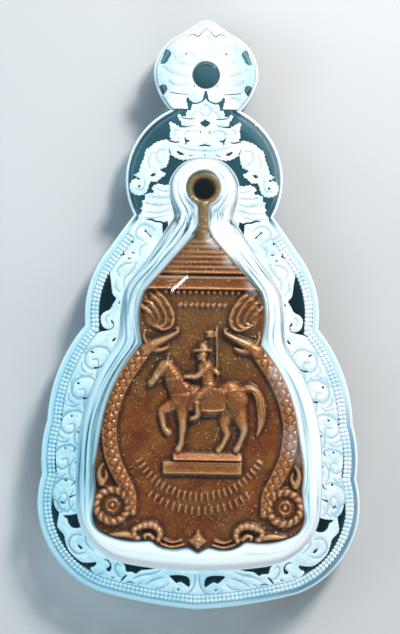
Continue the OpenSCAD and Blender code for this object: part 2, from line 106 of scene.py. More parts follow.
# Clear gaps in the frosting, right half
GAPS = [
    [(4.55, 30.35), (4.25, 30.05), (4.5, 29.6), (4.7, 29.2), (5.05, 29.05), (4.85, 29.6)],
    [(4.6, 26.4), (5.2, 26.45), (5.4, 25.9), (5.15, 25.25), (4.75, 25.4), (4.45, 25.9)],
    [(2.05, 25.1), (1.85, 24.8), (1.5, 24.45), (1.65, 23.9), (1.85, 23.7), (2.05, 23.9), (2.1, 24.3),
     (2.25, 24.8)],
    [(0, 22.55), (0.28, 22.35), (0.6, 22.2), (0.4, 21.85), (0, 21.65), (-0.4, 21.85), (-0.6, 22.2),
     (-0.28, 22.35)],
    [(1.5, 20), (2.1, 20.2), (2.45, 20.55), (2.3, 20), (2.2, 19.5), (2, 19.9)],
    [(3.25, 18.85), (2.8, 18.75), (2.35, 18.45), (2.9, 18.4)],
    [(5.55, 16.2), (5.95, 16.25), (6.25, 15.95), (5.85, 15.85)],
    [(7.35, 14.85), (7.55, 14.85), (7.65, 14.6), (7.4, 14.55)],
    [(4.15, 10.75), (4.6, 10.55), (4.75, 10.15), (4.6, 9.2), (4.1, 9.9)],
    [(9.2, 7.2), (9.35, 6.95), (9.6, 6.7), (9.3, 6.7), (9, 6.8)],
    [(10.8, 5), (11.05, 4.3), (11.4, 3.5), (11.65, 2.6), (11.85, 1.2), (11.9, 0), (11.85, -1.2), (11.8, -2),
     (11.3, -1.95), (10.75, -1.85), (11.3, -1.6), (11.6, -1), (11.6, -0.3), (11.2, 0.15), (10.6, 0.45),
     (10.25, 1.1), (9.9, 1.75), (10.3, 2.2), (10.45, 3), (10.55, 3.9)],
    [(10.35, -0.75), (10.5, -0.85), (10.3, -1.2), (10.1, -1.1)],
    [(9.45, 1.45), (9.6, 1.4), (9.65, 1.05), (9.5, 1.15)],
    [(8.9, -2.1), (9.4, -2.7), (9.85, -3.7), (9.3, -3.5)],
    [(16.85, -21.2), (16.95, -22), (17, -23.2), (17, -24.2), (16.5, -25.3), (15.9, -26.4), (15.2, -27.5),
     (14.3, -28.6), (13.4, -29.1), (12.7, -29.5), (12, -30), (12.35, -29.4), (11.85, -29.15), (11.65, -28.7),
     (12.5, -28.75), (13.3, -28.7), (14.1, -28.15), (14.9, -27.3), (15.3, -26.2), (15.45, -25.6),
     (16.2, -24.7), (16.15, -23.8), (16.05, -23), (16.5, -22.5)],
    [(13.7, -23.2), (14.7, -23.3), (15.5, -23.35), (15.5, -23.55), (15.1, -23.8), (14.95, -24.3),
     (14.4, -24.8), (13.5, -24.6)],
    [(15.3, -22), (15.6, -21.8), (15.85, -21.6), (15.8, -21.9), (15.5, -22.05)],
    [(13.25, -27.1), (13.6, -26.75), (13.85, -26.6), (13.75, -27), (13.45, -27.25)],
    [(9.95, -28.95), (10.2, -29.2), (10.5, -29.4), (10.4, -29.7), (10.05, -29.7), (9.9, -29.3)],
    [(9.5, -30.3), (9.8, -30.4), (10.05, -30.4), (9.8, -30.55), (9.55, -30.45)],
    [(4.9, -29.2), (5.6, -29.45), (6.5, -29.55), (7.1, -29.95), (7.5, -29.75), (8.2, -29.7), (8.35, -29.1),
     (8.8, -28.45), (8, -28.3), (6, -28.8)],
    [(1, -30.3), (1.6, -30.05), (2.4, -30), (3.25, -30.1), (2.9, -30.5), (2.4, -30.95), (1.9, -30.8),
     (1.4, -31.1), (0.95, -31.4), (0.8, -31)],
    [(2.05, -31.65), (2.25, -31.5), (2.3, -31.7), (2.1, -31.85)],
]

# Clear lines in the frosting, right half: rows of x, y and width
LINES = [
    [(0, 25.85, 0.15), (0.05, 25.3, 0.3), (0.3, 24.75, 0.15), (0.7, 24.5, 0.12), (1.2, 24.35, 0.13),
     (1.7, 24.55, 0.15)],
    [(2, 25.4, 0.05), (3, 25.45, 0.09), (4.1, 25.6, 0.09)],
    [(0, 33.05, 0.05), (0.45, 32.65, 0.07), (1, 32.1, 0.1), (1.6, 32.35, 0.1), (2.3, 32, 0.05)],
    [(-0.1, 19.6, 0.15), (0.35, 19.52, 0.14), (0.75, 19.5, 0.04)],
    [(1.2, 22.6, 0.07), (2.2, 22.6, 0.1), (2.9, 22.85, 0.05)],
    [(1.3, 21.85, 0.05), (2.2, 21.65, 0.1), (3, 21.75, 0.25)],
    [(0.4, 20.9, 0.05), (0.6, 21.2, 0.12)],
    [(2.95, 19.95, 0.1), (3.4, 19.85, 0.13), (4.2, 20.05, 0.15)],
    [(3.95, 18.5, 0.12), (4.15, 19.1, 0.05)],
    [(1.2, 18.45, 0.05), (1.8, 18.3, 0.09)],
    [(4.4, 10.35, 0.25), (4.95, 10.65, 0.16), (5.5, 10.7, 0.17), (6, 10.9, 0.18), (6.6, 10.9, 0.05)],
    [(6, 8.9, 0.2), (6.15, 9.05, 0.1), (6.55, 9.45, 0.1), (6.75, 9.65, 0.25)],
    [(8.2, 10.35, 0.1), (8.5, 9.8, 0.25), (9, 9, 0.2), (9.5, 8.35, 0.05)],
    [(7.85, 7, 0.1), (8.2, 7.05, 0.12)],
    [(8.35, 6.4, 0.1), (8.65, 6.35, 0.12)],
    [(10.15, -1.2, 0.1), (10.25, -1.65, 0.08), (10.8, -1.9, 0.1), (11.5, -2, 0.15), (12.3, -2.3, 0.05)],
    [(9.9, -2.8, 0.12), (10.1, -3.05, 0.2), (10.3, -3.2, 0.05)],
    [(12.3, -4.6, 0.05), (12.6, -4.45, 0.2), (12.75, -4.4, 0.05)],
    [(11.2, -6, 0.06), (11.9, -6.3, 0.12), (12.3, -6.3, 0.22)],
    [(12.7, -9.65, 0.04), (13.1, -9.8, 0.12), (13.55, -9.85, 0.2)],
    [(13.2, -13.55, 0.04), (13.6, -13.7, 0.14), (14.1, -13.75, 0.24)],
    [(14.35, -15.4, 0.04), (14.4, -15.8, 0.1), (14.55, -16.05, 0.04)],
    [(14, -17, 0.04), (14.35, -17.3, 0.1)],
    [(14.25, -19.2, 0.04), (14.35, -19.6, 0.1), (14.7, -19.9, 0.05)],
    [(14.1, -20.95, 0.05), (14.5, -21.1, 0.12), (14.9, -21.25, 0.16)],
    [(16.55, -14.9, 0.05), (16.68, -15.6, 0.16), (16.68, -16.6, 0.15), (16.5, -18.4, 0.16)],
    [(12.75, -1.5, 0.4), (12.8, -0.6, 0.35), (12.8, 0.4, 0.3), (12.75, 1.2, 0.12), (12.7, 2.2, 0.05)],
    [(18, -22.4, 0.05), (17.9, -24, 0.12), (17.5, -25.2, 0.15), (17.05, -26, 0.32), (16.2, -27.3, 0.35),
     (15.3, -28.4, 0.3), (14.5, -29.3, 0.08)],
    [(10, -29.2, 0.15), (10.1, -28.75, 0.12), (10.45, -28.42, 0.12), (10.85, -28.45, 0.05)],
    [(8.15, -30.15, 0.12), (8.45, -30.4, 0.2), (8.8, -30.85, 0.1)],
    [(7.2, -31.15, 0.05), (7.7, -30.9, 0.12), (8.25, -31, 0.05)],
]

# Clear dots in the frosting, right half: rows of x, y and radius
DOTS = [
    (2.3, 30.1, 0.12), (1.3, 26.4, 0.1), (8.15, 8.3, 0.14), (9.9, 6.4, 0.08), (14.1, -8.1, 0.15),
    (14.8, -11.9, 0.13), (15.45, -15.6, 0.13), (15.35, -19.3, 0.15), (15.7, -9.4, 0.07), (15.75, -10, 0.08),
    (15.85, -10.55, 0.1), (15.95, -11.15, 0.12), (16, -11.75, 0.14), (16, -12.35, 0.14),
    (12.6, 3.1, 0.09), (12.4, 3.8, 0.08),
]


# Numbers and curves in plan, all in mm

def step(low, high, value):
    """0 at low, 1 at high, and soft between them."""
    t = np.clip((value - low) / (high - low), 0, 1)
    return t * t * (3 - 2 * t)


def unit(vectors):
    """The vectors at a length of 1."""
    shortest = 1e-9
    return vectors / np.maximum(np.linalg.norm(vectors, axis=1), shortest)[:, None]


def rightward(ways):
    """The directions, turned a quarter to the right."""
    return np.stack([ways[:, 1], -ways[:, 0]], axis=1)


def closed(ring):
    """The ring with its first point again at its end."""
    return np.vstack([ring, ring[:1]])


def lengths(path):
    """Length along the path at each of its points."""
    return np.concatenate([[0], np.cumsum(np.linalg.norm(np.diff(path, axis=0), axis=1))])


def along(path, at):
    """Points at the given lengths along the path."""
    length = lengths(path)
    return np.stack([np.interp(at, length, path[:, k]) for k in (0, 1)], axis=1)


def even_steps(path, pitch):
    """Points along an open path at an even pitch."""
    return along(path, np.arange(0, lengths(path)[-1], pitch))


def arc(p, q, bow, steps):
    """Points of the arc from p towards q, without q. It bulges outward by bow."""
    straight = 0.001
    p = np.array(p[:2], float)
    way = np.array(q[:2], float) - p
    run = np.linalg.norm(way)
    ahead = way / run
    out = np.array([ahead[1], -ahead[0]])
    share = np.arange(steps) / steps
    if abs(bow) < straight:
        return p + np.outer(share * run, ahead)
    half_angle = 2 * math.atan(2 * bow / run)
    radius = run / 2 / math.sin(half_angle)
    turn = half_angle * (2 * share - 1)
    sideways = radius * (np.cos(turn) - math.cos(half_angle))
    return p + np.outer(run / 2 + radius * np.sin(turn), ahead) + np.outer(sideways, out)


def outline(rows, steps=14):
    """Closed outline, counter-clockwise from the bottom point: the right half, then its mirror image."""
    parts = [arc(a, b, a[2], steps) for a, b in zip(rows, rows[1:])]
    right = np.vstack([*parts, [[0.0, rows[-1][1]]]])
    return np.vstack([right, right[-2:0:-1] * [-1, 1]])


def inset(ring, distance):
    """The ring moved inward by distance, with mitred corners."""
    longest_mitre = 1.5
    before = unit(ring - np.roll(ring, 1, axis=0))
    after = unit(np.roll(ring, -1, axis=0) - ring)
    inward = -rightward(before + after)
    mitre = np.minimum(2 / np.linalg.norm(inward, axis=1), longest_mitre)
    return ring + unit(inward) * (distance * mitre)[:, None]


def smooth(rows, steps, looped=False):
    """Catmull-Rom curve through rows of any length."""
    rows = np.array(rows, float)
    count = len(rows)
    out = []
    for i in range(count if looped else count - 1):
        a, b, c, d = rows[[k % count if looped else min(max(k, 0), count - 1) for k in range(i - 1, i + 3)]]
        for t in np.arange(steps) / steps:
            square = (2 * a - 5 * b + 4 * c - d) * t**2
            cube = (3 * b - a - 3 * c + d) * t**3
            out.append((2 * b + (c - a) * t + square + cube) / 2)
    if not looped:
        out.append(rows[-1])
    return np.array(out)


def rounded(ring, reach):
    """The ring with its corners eased: each point is the mean of the ring over reach mm to both sides."""
    samples = 9
    edge_weight = 1.2
    loop = closed(ring)
    length = lengths(loop)
    offsets = np.linspace(-reach, reach, samples)
    weights = 1 - np.abs(offsets) / (reach * edge_weight)
    moved = [along(loop, (length[:-1] + offset) % length[-1]) for offset in offsets]
    return sum(share * part for share, part in zip(weights / weights.sum(), moved))


def circle(x, y, radius, sides):
    angles = np.arange(sides) * math.tau / sides
    return np.stack([x + radius * np.cos(angles), y + radius * np.sin(angles)], axis=1)


def ribbon(rows, gain, steps=4):
    """Closed outline of a line of x, y and width. gain is a factor on the width."""
    line = smooth([(x, y, width * gain) for x, y, width in rows], steps)
    middle = line[:, :2]
    side = rightward(unit(np.gradient(middle, axis=0))) * line[:, 2:] / 2
    return np.vstack([middle - side, (middle + side)[::-1]])


def rope(ring):
    """Smooth closed curve through the ring."""
    return smooth(ring, 3, looped=True)


def lumpy(ring, pitch=0.5, size=0.05):
    """The ring with small lobes along its edge."""
    lobe_points = 4
    loop = closed(ring)
    total = lengths(loop)[-1]
    count = max(round(total / pitch), 3) * lobe_points
    dense = along(loop, np.arange(count) * total / count)
    way = unit(np.roll(dense, -1, axis=0) - np.roll(dense, 1, axis=0))
    out = np.abs(np.sin(math.pi * np.arange(count) / lobe_points)) - 0.5
    return dense + rightward(way) * (out * size * 2)[:, None]


def contains(ring, points):
    """Whether each point lies inside the closed ring."""
    inside = np.zeros(len(points), bool)
    near = np.all((points >= ring.min(axis=0)) & (points <= ring.max(axis=0)), axis=1)
    x, y = points[near].T
    found = np.zeros(len(x), bool)
    for a, b in zip(ring, np.roll(ring, -1, axis=0)):
        crosses = (a[1] > y) != (b[1] > y)
        if crosses.any():
            at = a[0] + (y[crosses] - a[1]) * (b[0] - a[0]) / (b[1] - a[1])
            found[crosses] ^= x[crosses] < at
    inside[near] = found
    return inside


def within(rings, points):
    """Whether each point lies inside any of the rings."""
    return np.any([contains(ring, points) for ring in rings], axis=0)


def nearest(ring, points):
    """Distance from each point to the closed ring, and the length along the ring where it comes nearest."""
    best = np.full(len(points), np.inf)
    at = np.zeros(len(points))
    loop = closed(ring)
    for a, b, start in zip(loop, loop[1:], lengths(loop)):
        way = b - a
        t = np.clip(((points - a) @ way) / (way @ way), 0, 1)
        off = np.linalg.norm(points - a - t[:, None] * way, axis=1)
        at = np.where(off < best, start + t * np.linalg.norm(way), at)
        best = np.minimum(off, best)
    return best, at


def edge_distance(ring, points):
    """Signed distance to the closed ring, negative inside."""
    best, _ = nearest(ring, points)
    return np.where(contains(ring, points), -best, best)


def both_sides(rings):
    """The rings and their mirror images. A ring that is its own mirror image comes once."""
    near = 0.01
    lopsided = [ring for ring in rings if abs(ring[:, 0].min() + ring[:, 0].max()) > near]
    return [*rings, *[ring[::-1] * [-1, 1] for ring in lopsided]]


def flipped(rows, side):
    """The rows, or with side -1 their mirror image."""
    return [(side * x, *rest) for x, *rest in rows]


# Mesh building

def around(ring):
    """The edges of a closed ring, in order."""
    return zip(ring, ring[1:] + ring[:1])


def ring_edges(rings):
    """The edges of closed rings whose points are numbered through, ring after ring."""
    edges = []
    for ring in rings:
        start = len(edges)
        edges += around(list(range(start, start + len(ring))))
    return edges


def enclosed(faces, borders):
    """The faces left of the border edges, and all that join them without crossing a border."""
    owner = {edge: k for k, face in enumerate(faces) for edge in around(face)}
    waiting = [owner[edge] for edge in borders]
    kept = set(waiting)
    while waiting:
        for edge in around(faces[waiting.pop()]):
            beyond = owner.get(edge[::-1])
            if edge not in borders and beyond is not None and beyond not in kept:
                kept.add(beyond)
                waiting.append(beyond)
    return [faces[k] for k in sorted(kept)]


def add_mesh(name, points, faces, material, smooth_angle=None):
    """New object from points in mm. Edges sharper than smooth_angle, in degrees, stay crisp."""
    mesh = bpy.data.meshes.new(name)
    mesh.from_pydata((np.asarray(points, float) * MM).tolist(), [], faces)
    mesh.materials.append(material)
    piece = bpy.data.objects.new(name, mesh)
    bpy.context.scene.collection.objects.link(piece)
    if smooth_angle is not None:
        mesh.shade_smooth()
        mesh.set_sharp_from_angle(angle=math.radians(smooth_angle))
    return piece


def add_values(piece, name, values, domain="POINT"):
    """Number or vector for each point or face of the mesh, for a material to read."""
    values = np.asarray(values, float)
    kind, field = ("FLOAT_VECTOR", "vector") if values.ndim == 2 else ("FLOAT", "value")
    layer = piece.data.attributes.new(name, kind, domain)
    layer.data.foreach_set(field, values.ravel())


class Builder:
    """Collects points and faces of one mesh."""

    def __init__(self):
        self.points = []
        self.faces = []

    def ring(self, plan, z):
        start = len(self.points)
        heights = np.broadcast_to(z, (len(plan),))
        self.points += [(x, y, h) for (x, y), h in zip(plan, heights)]
        return list(range(start, start + len(plan)))

    def rings(self, stack):
        """Bands of quads between rings of equal length, facing outward for counter-clockwise rings."""
        for lower, upper in zip(stack, stack[1:]):
            for (a, b), (d, c) in zip(around(lower), around(upper)):
                self.faces.append((a, b, c, d))

    def fill(self, outer, holes=(), up=True, inside=()):
        """Flat or nearly flat face between the outer ring and its holes, through the points inside it."""
        same_point = 1e-7
        loops = [outer, *holes]
        index = [i for loop in loops for i in loop] + list(inside)
        plan = [Vector(self.points[i][:2]) for i in index]
        _, _, tris, origin, _, _ = geometry.delaunay_2d_cdt(plan, ring_edges(loops), [], 0, same_point)
        own = [index[o[0]] for o in origin]
        borders = self.inner_edges(outer, True)
        for hole in holes:
            borders |= self.inner_edges(hole, False)
        for face in enclosed([[own[i] for i in tri] for tri in tris], borders):
            self.faces.append(tuple(face if up else face[::-1]))

    def inner_edges(self, ring, filled_inside):
        """The ring's edges, turned so that the fill lies on their left."""
        x, y = np.array([self.points[i][:2] for i in ring]).T
        leftward = np.sum(x * np.roll(y, -1) - y * np.roll(x, -1)) > 0
        return set(around(ring if leftward == filled_inside else ring[::-1]))


# Clear shells

DOME_STEPS = 14
# Outer edge, its ease at the seam, and the bail hole's edge
EDGE_R = 0.45
EDGE_STEPS = 6
SEAM_EASE = 0.1
HOLE_EASE = 0.12
HOLE_SIDES = 64
# Where the haze of the dome's flat top ends, a painted reflection round the coin: just outside the coin's edge,
# and just inside it
VEIL_OUT = 0.06
VEIL_IN = 0.35


def quarter(steps):
    """Angles of a quarter turn, both ends included."""
    return np.linspace(0, math.pi / 2, steps + 1)


def dome_foot():
    """The dome's outline on the flange, with soft bends."""
    return rounded(outline(DOME), reach=1.8)


def coin_outline():
    return outline(COIN, steps=8)


def coin_edge():
    """The coin's outline as it shows through the dome."""
    return rounded(coin_outline(), reach=0.4)


def dome_rings(build, base_z, top_z):
    """Rings of the dome in a quarter ellipse from its foot to its flat top over the pocket."""
    foot = dome_foot()
    crown = rounded(outline(POCKET), reach=1.6)
    return [
        build.ring(foot * math.cos(a) + crown * (1 - math.cos(a)), base_z + (top_z - base_z) * math.sin(a))
        for a in quarter(DOME_STEPS)
    ]


def pocket_rings(build, open_z, end_z):
    """Rings of the pocket from the seam to its end, with a rounded corner."""
    ease = 0.2
    narrowing = 0.01
    ease_steps = 4
    side = math.copysign(1, end_z - open_z)
    mouth = rounded(outline(POCKET), reach=0.6)
    rings = [build.ring(mouth, open_z)]
    for a in quarter(ease_steps):
        plan = mouth * (1 - narrowing * (1 - math.cos(a)))
        rings.append(build.ring(plan, end_z - side * ease * (1 - math.sin(a))))
    return rings


def rim_profile(seam_z, flange_z, side):
    """The rim's rounded profile from the seam to the flange: depth behind the case's outline, and height.

    Its last rings lie on the flange, where the haze of the edge and that of the band end.
    """
    profile = [(SEAM_EASE, seam_z), (0, seam_z + side * SEAM_EASE)]
    for a in quarter(EDGE_STEPS):
        profile.append((EDGE_R * (1 - math.cos(a)), flange_z - side * EDGE_R * (1 - math.sin(a))))
    return profile + [(depth, flange_z) for depth in (EDGE_R + 0.1, RIM, RIM + 0.08)]


def shell(name, material, seam_z, flange_z, dome_z, pocket_z):
    """One half of the case, from the seam out to its dome."""
    skirt = 0.15
    build = Builder()
    side = math.copysign(1, flange_z - seam_z)
    up = side > 0
    rim = rim_profile(seam_z, flange_z, side)
    wall = [build.ring(inset(outline(CASE), depth), z) for depth, z in rim]
    dome = dome_rings(build, flange_z, dome_z)
    dome.insert(0, build.ring(inset(dome_foot(), -skirt), flange_z))
    veil = [build.ring(inset(coin_edge(), depth), dome_z) for depth in (-VEIL_OUT, VEIL_IN)]
    pocket = pocket_rings(build, seam_z, pocket_z)
    bore = ((BAIL_R, seam_z), (BAIL_R, flange_z - side * HOLE_EASE), (BAIL_R + HOLE_EASE, flange_z))
    hole = [build.ring(circle(*BAIL, radius, HOLE_SIDES), z) for radius, z in bore]
    build.fill(wall[0], [pocket[0], hole[0]], up=not up)
    build.fill(wall[-1], [dome[0], hole[-1]], up=up)
    for outer, inner in zip([dome[-1], veil[0]], veil):
        build.fill(outer, [inner], up=up)
    window = build.ring(window_points(), dome_z)
    build.fill(veil[1], up=up, inside=window)
    build.fill(pocket[-1], up=not up)
    for stack in (wall, dome, pocket[::-1], hole[::-1]):
        build.rings(stack if up else stack[::-1])
    piece = add_mesh(name, build.points, build.faces, material, smooth_angle=40)
    weigh_normals(piece)
    flange = [*wall[-1], *dome[0], *hole[-1]]
    # Haze, with painted highlights and reflections, for the material to read
    add_values(piece, "haze_and_painted_light", shell_haze_and_painted_light(build, rim, wall, dome[1:], flange, veil[0], window))
    add_values(piece, "flow", shell_flow(build, wall[:-1], dome[1:], flange, veil))
    return piece


def weigh_normals(piece):
    """Shading that follows the large faces and keeps the sharp edges."""
    weighted = piece.modifiers.new("weighted", "WEIGHTED_NORMAL")
    weighted.keep_sharp = True
    weighted.weight = 100


def window_points():
    """Points of an even grid over the coin's inner part."""
    pitch = 0.35
    left, right, bottom, top = -13, 13, -28, 17
    x, y = np.meshgrid(np.arange(left, right, pitch), np.arange(bottom, top, pitch))
    grid = np.stack([x.ravel(), y.ravel()], axis=1)
    return grid[contains(inset(coin_edge(), VEIL_IN + pitch / 3), grid)]


# How cloudy the shells look, much of it painted light: clear on the flat faces, hazy with a painted white
# highlight at the rim, painted reflections on the dome's wall and up to the coin's edge. Haze fades by a share
# times step(from, to, place in mm).
# The rim's white edge is a painted highlight; the lobe's edge is frosted white
RIM_HIGHLIGHT = 0.98
LOBE_HAZE = 0.97
BAND_HAZE = 0.7
SIDE_HAZE = 0.35
# The dome wall's white streaks are painted reflections
WALL_REFLECTION = 0.95
VEIL_REFLECTION = 0.7
FLANGE_HAZE = 0.42
LOBE_FLANGE_HAZE = 0.35
# Painted reflections over the coin, as white smears: x, y, radius and haze
PAINTED_REFLECTIONS = [
    (1.5, 8.8, 1.1, 0.9), (3.3, 6.5, 0.9, 0.5), (6.1, 3.6, 1.1, 0.5), (8.7, -6.4, 0.9, 0.4),
    (11.2, -7.5, 2.7, 0.26), (12, -14.5, 2.4, 0.24),
]
# The streaks run along drums. Each part of the shell has its drum's radius and its lanes across.
DOME_DRUM = 1.2
DOME_LANES = 2.6
VEIL_LANES = (3, 3.5)
RIM_DRUM = 6
RIM_LANE = 8
RIM_LANE_PITCH = 0.3
FLANGE_LANE = -5


def dome_shares():
    """How far in from the dome's foot each of its rings lies, as a share."""
    return 1 - np.cos(quarter(DOME_STEPS))


def rim_highlight_and_haze(place, depth):
    """White edge, a painted highlight along the rim and frosted white on the lobe. Behind it, a cloudy band
    that thins out at the lower right and ends at the shoulders.
    """
    x, y = place.T
    edge = np.where(y > NECK_Y, LOBE_HAZE, RIM_HIGHLIGHT) * step(EDGE_R, 0.15, depth)
    lower_right = step(2, 14, x) * step(-8, -16, y)
    band = BAND_HAZE * (1 - 0.45 * lower_right) * step(SHOULDER_Y + 1, SHOULDER_Y - 1, y)
    if depth > RIM:
        return np.zeros(len(place))
    return edge * SIDE_HAZE if depth == 0 else np.maximum(edge, band)


def painted_wall_light(x, y):
    """Painted light on the dome's wall: extra density of its white on the right, at the bottom, at the top and
    beside the stem.
    """
    right = 0.6 * step(-2, 10, x)
    bottom = 1.1 * step(-20, -26, y)
    top = 0.7 * step(11, 15, y)
    stem = step(4, 1, np.hypot(x - 2.2, y - 8.8))
    return np.max([right, bottom, top, stem], axis=0)


def shell_haze_and_painted_light(build, rim, wall, dome, flange, veil, window):
    """Cloudiness of each point, much of it painted light: the rim's white highlight, and reflections on the
    dome's wall, round the coin's edge and over the coin.
    """
    place = np.array(build.points)[:, :2]
    x, y = place.T
    haze_and_painted_light = np.zeros(len(place))
    for (depth, _), ring in zip(rim[1:], wall[1:]):
        haze_and_painted_light[ring] = rim_highlight_and_haze(place[ring], depth)
    haze_and_painted_light[flange] = FLANGE_HAZE * step(8, 14, y[flange]) + LOBE_FLANGE_HAZE * step(22, 25, y[flange])
    # Painted light: the wall is whiter on the right, at the bottom, at the top and beside the stem
    dense = painted_wall_light(x, y)
    thin_foot = np.maximum(0.72 * step(6, 12, y), 0.6 * step(-9, 0, y) * step(3, 8, x))
    for ring, inward in zip(dome, dome_shares()):
        haze_and_painted_light[ring] = WALL_REFLECTION * (1 + 0.45 * dense[ring]) * (1 - 0.15 * inward**4)
        if inward > 0:
            haze_and_painted_light[ring] *= 1 - thin_foot[ring] * step(0.5, 0, inward)
    clear_spot = 0.45 * step(3.5, 1, np.hypot(x - 8.3, y + 0.5))
    # Painted reflection: a white veil round the coin's edge, thinner at a clear spot
    haze_and_painted_light[veil] = VEIL_REFLECTION + 0.75 * dense[veil] - clear_spot[veil]
    # Painted reflections: white smears over the coin
    for *spot, radius, strength in PAINTED_REFLECTIONS:
        away = np.hypot(*(place[window] - spot).T)
        haze_and_painted_light[window] = np.maximum(haze_and_painted_light[window], strength * step(radius * 1.5, 0, away))
    return haze_and_painted_light


def shell_flow(build, wall, dome, flange, veil):
    """Place along and across the dome's wall and the rim, wound round drums so that streaks close up."""
    flow = np.zeros((len(build.points), 3))
    flow[flange] = (0, 0, FLANGE_LANE)
    lanes = [(DOME_DRUM, DOME_LANES * inward, ring) for inward, ring in zip(dome_shares(), dome)]
    lanes += [(DOME_DRUM, lane, ring) for lane, ring in zip(VEIL_LANES, veil)]
    lanes += [(RIM_DRUM, RIM_LANE + RIM_LANE_PITCH * k, ring) for k, ring in enumerate(wall)]
    for drum, lane, ring in lanes:
        flow[ring, :2] = circle(0, 0, drum, len(ring))
        flow[ring, 2] = lane
    return flow


# Frosted ornament, cut out of one plan: clear gaps, shallow grooves, and lumpy frosting at full height

CLEAR, GROOVE, FULL = range(3)
# Painted shade: grooves and the walls of steps are coloured darker and bluer than the full height
FROST_SHADE_TONES = {GROOVE: 0.42, FULL: 1.0}
FROST_SINK = 0.05
GROOVE_H = 0.09
# Where the full height meets its edge, the size of its lumps, and the spacing of the points that carry them
FROST_EDGE = 0.12
FROST_LUMP = 0.05
FROST_GRID = 0.26
# Factors on the widths of grooves and clear lines
VEIN_GAIN = 1.85
LINE_GAIN = 1.3
# The first gaps are the lobe's windows, and are cut wider than drawn
LOBE_WINDOWS = 2
WINDOW_MARGIN = 0.2
PEARL_BAND = 1.06
# The pearl border starts at a cut across the band: a point on it, right half, and the way along the band
PEARL_START = (9.2, 9.7)
PEARL_WAY = (0.57, -0.82)

# Shallow grooves that draw the leaves and petals, right half: rows of x, y and width
VEINS = [
    # Petals round the bail hole
    [(0.35, 29.9, 0.14), (0.75, 31, 0.12), (0, 32.1, 0.06)],
    [(1.4, 29.6, 0.12), (2.3, 30.6, 0.14), (2.2, 31.7, 0.06)],
    [(2, 28.6, 0.12), (3.5, 29.1, 0.14), (3.9, 30.2, 0.06)],
    [(2.3, 27.4, 0.12), (4, 27.7, 0.14), (5.2, 28.6, 0.06)],
    [(1.9, 26.5, 0.12), (3.5, 26.3, 0.12), (4.4, 26.9, 0.06)],
    [(2.5, 24.6, 0.08), (3.3, 24.9, 0.12), (4.1, 24.4, 0.06)],
    # Lotus
    [(0, 24.2, 0.1), (0.7, 23.5, 0.12), (0.2, 22.9, 0.06)],
    [(0.9, 23.5, 0.06), (1.5, 23.1, 0.12), (1.6, 22.4, 0.06)],
    [(0.5, 20.7, 0.06), (1.2, 21.2, 0.12), (2, 21.1, 0.12), (2.4, 20.7, 0.06)],
    [(2.9, 21.2, 0.06), (3.4, 21.3, 0.12), (3.5, 20.6, 0.06)],
    [(0, 18.9, 0.1), (1.2, 18.95, 0.12), (2.2, 19.1, 0.1), (3.2, 19.5, 0.06)],
    # Elephant's ear, neck and trunk
    [(4.6, 18.9, 0.06), (5.3, 18.9, 0.13), (5.6, 18, 0.13), (5, 17.3, 0.06)],
    [(6.1, 18.6, 0.06), (6.5, 17.6, 0.12), (6.3, 16.8, 0.06)],
    [(6.9, 15.5, 0.06), (6.9, 14.8, 0.1), (7.2, 14.3, 0.1), (7.9, 14.4, 0.06)],
    # Ribs of the fan
    [(4, 14.2, 0.05), (4.9, 14.2, 0.12), (5.6, 14.6, 0.05)],
    [(3.9, 13.5, 0.05), (5, 13.4, 0.12), (6.3, 13.5, 0.05)],
    [(3.8, 12.8, 0.05), (5.2, 12.5, 0.12), (6.8, 12.8, 0.05)],
    [(3.9, 12.1, 0.05), (5.3, 11.7, 0.12), (6.9, 11.8, 0.05)],
    [(4.3, 11.4, 0.05), (5.6, 11.1, 0.1), (6.8, 11.1, 0.05)],
    # Shoulder flowers
    [(5.6, 9.6, 0.06), (6.6, 10.3, 0.13), (7.6, 9.9, 0.13), (7.7, 8.9, 0.13), (6.9, 8.4, 0.06)],
    [(6.5, 8.1, 0.06), (7.2, 7.6, 0.12), (7.3, 6.7, 0.06)],
    [(8.7, 8.9, 0.06), (9.2, 8, 0.12), (8.6, 7.3, 0.06)],
    [(8.2, 5.8, 0.06), (9.1, 5.7, 0.13), (9.8, 5, 0.13), (9.5, 4.2, 0.06)],
    [(7.6, 6, 0.06), (8.2, 4.9, 0.12), (9, 4, 0.12), (9, 3, 0.06)],
    [(9.9, 3.9, 0.06), (10, 3, 0.12), (9.4, 2.4, 0.06)],
    [(10.6, -0.1, 0.06), (11.1, -0.6, 0.12), (10.8, -1.2, 0.06)],
    # Scroll of the lower corner
    [(14.4, -22, 0.06), (15.2, -22.9, 0.13), (16.2, -22.1, 0.13), (15.9, -21.1, 0.06)],
    [(13.4, -25.6, 0.06), (14.4, -25.6, 0.14), (14.9, -26.6, 0.14), (14, -27.7, 0.14), (12.9, -27.6, 0.06)],
    [(12, -27.4, 0.06), (12.9, -26.4, 0.12), (12.9, -25.3, 0.06)],
    [(10.9, -29.9, 0.06), (11.6, -30.2, 0.12), (12.2, -30.8, 0.06)],
    # Leaves and curls along the bottom
    [(8.85, -29.1, 0.06), (9.3, -28.8, 0.12), (9.5, -29.4, 0.12), (9.15, -30.1, 0.12), (8.7, -30.4, 0.06)],
    [(4.2, -29.5, 0.06), (5.2, -29.9, 0.12), (6.4, -30.1, 0.12), (7.4, -30.5, 0.06)],
    [(3.9, -30.3, 0.06), (5, -30.6, 0.12), (6, -31.2, 0.06)],
    [(6.4, -30.9, 0.06), (6.9, -31.3, 0.1), (6.6, -31.8, 0.06)],
    [(3.3, -31, 0.06), (4, -31.5, 0.12), (4.9, -31.6, 0.06)],
    [(0.25, -29.9, 0.06), (0.3, -31, 0.12), (0.9, -32, 0.12), (2, -32.3, 0.12), (2.9, -31.7, 0.06)],
]

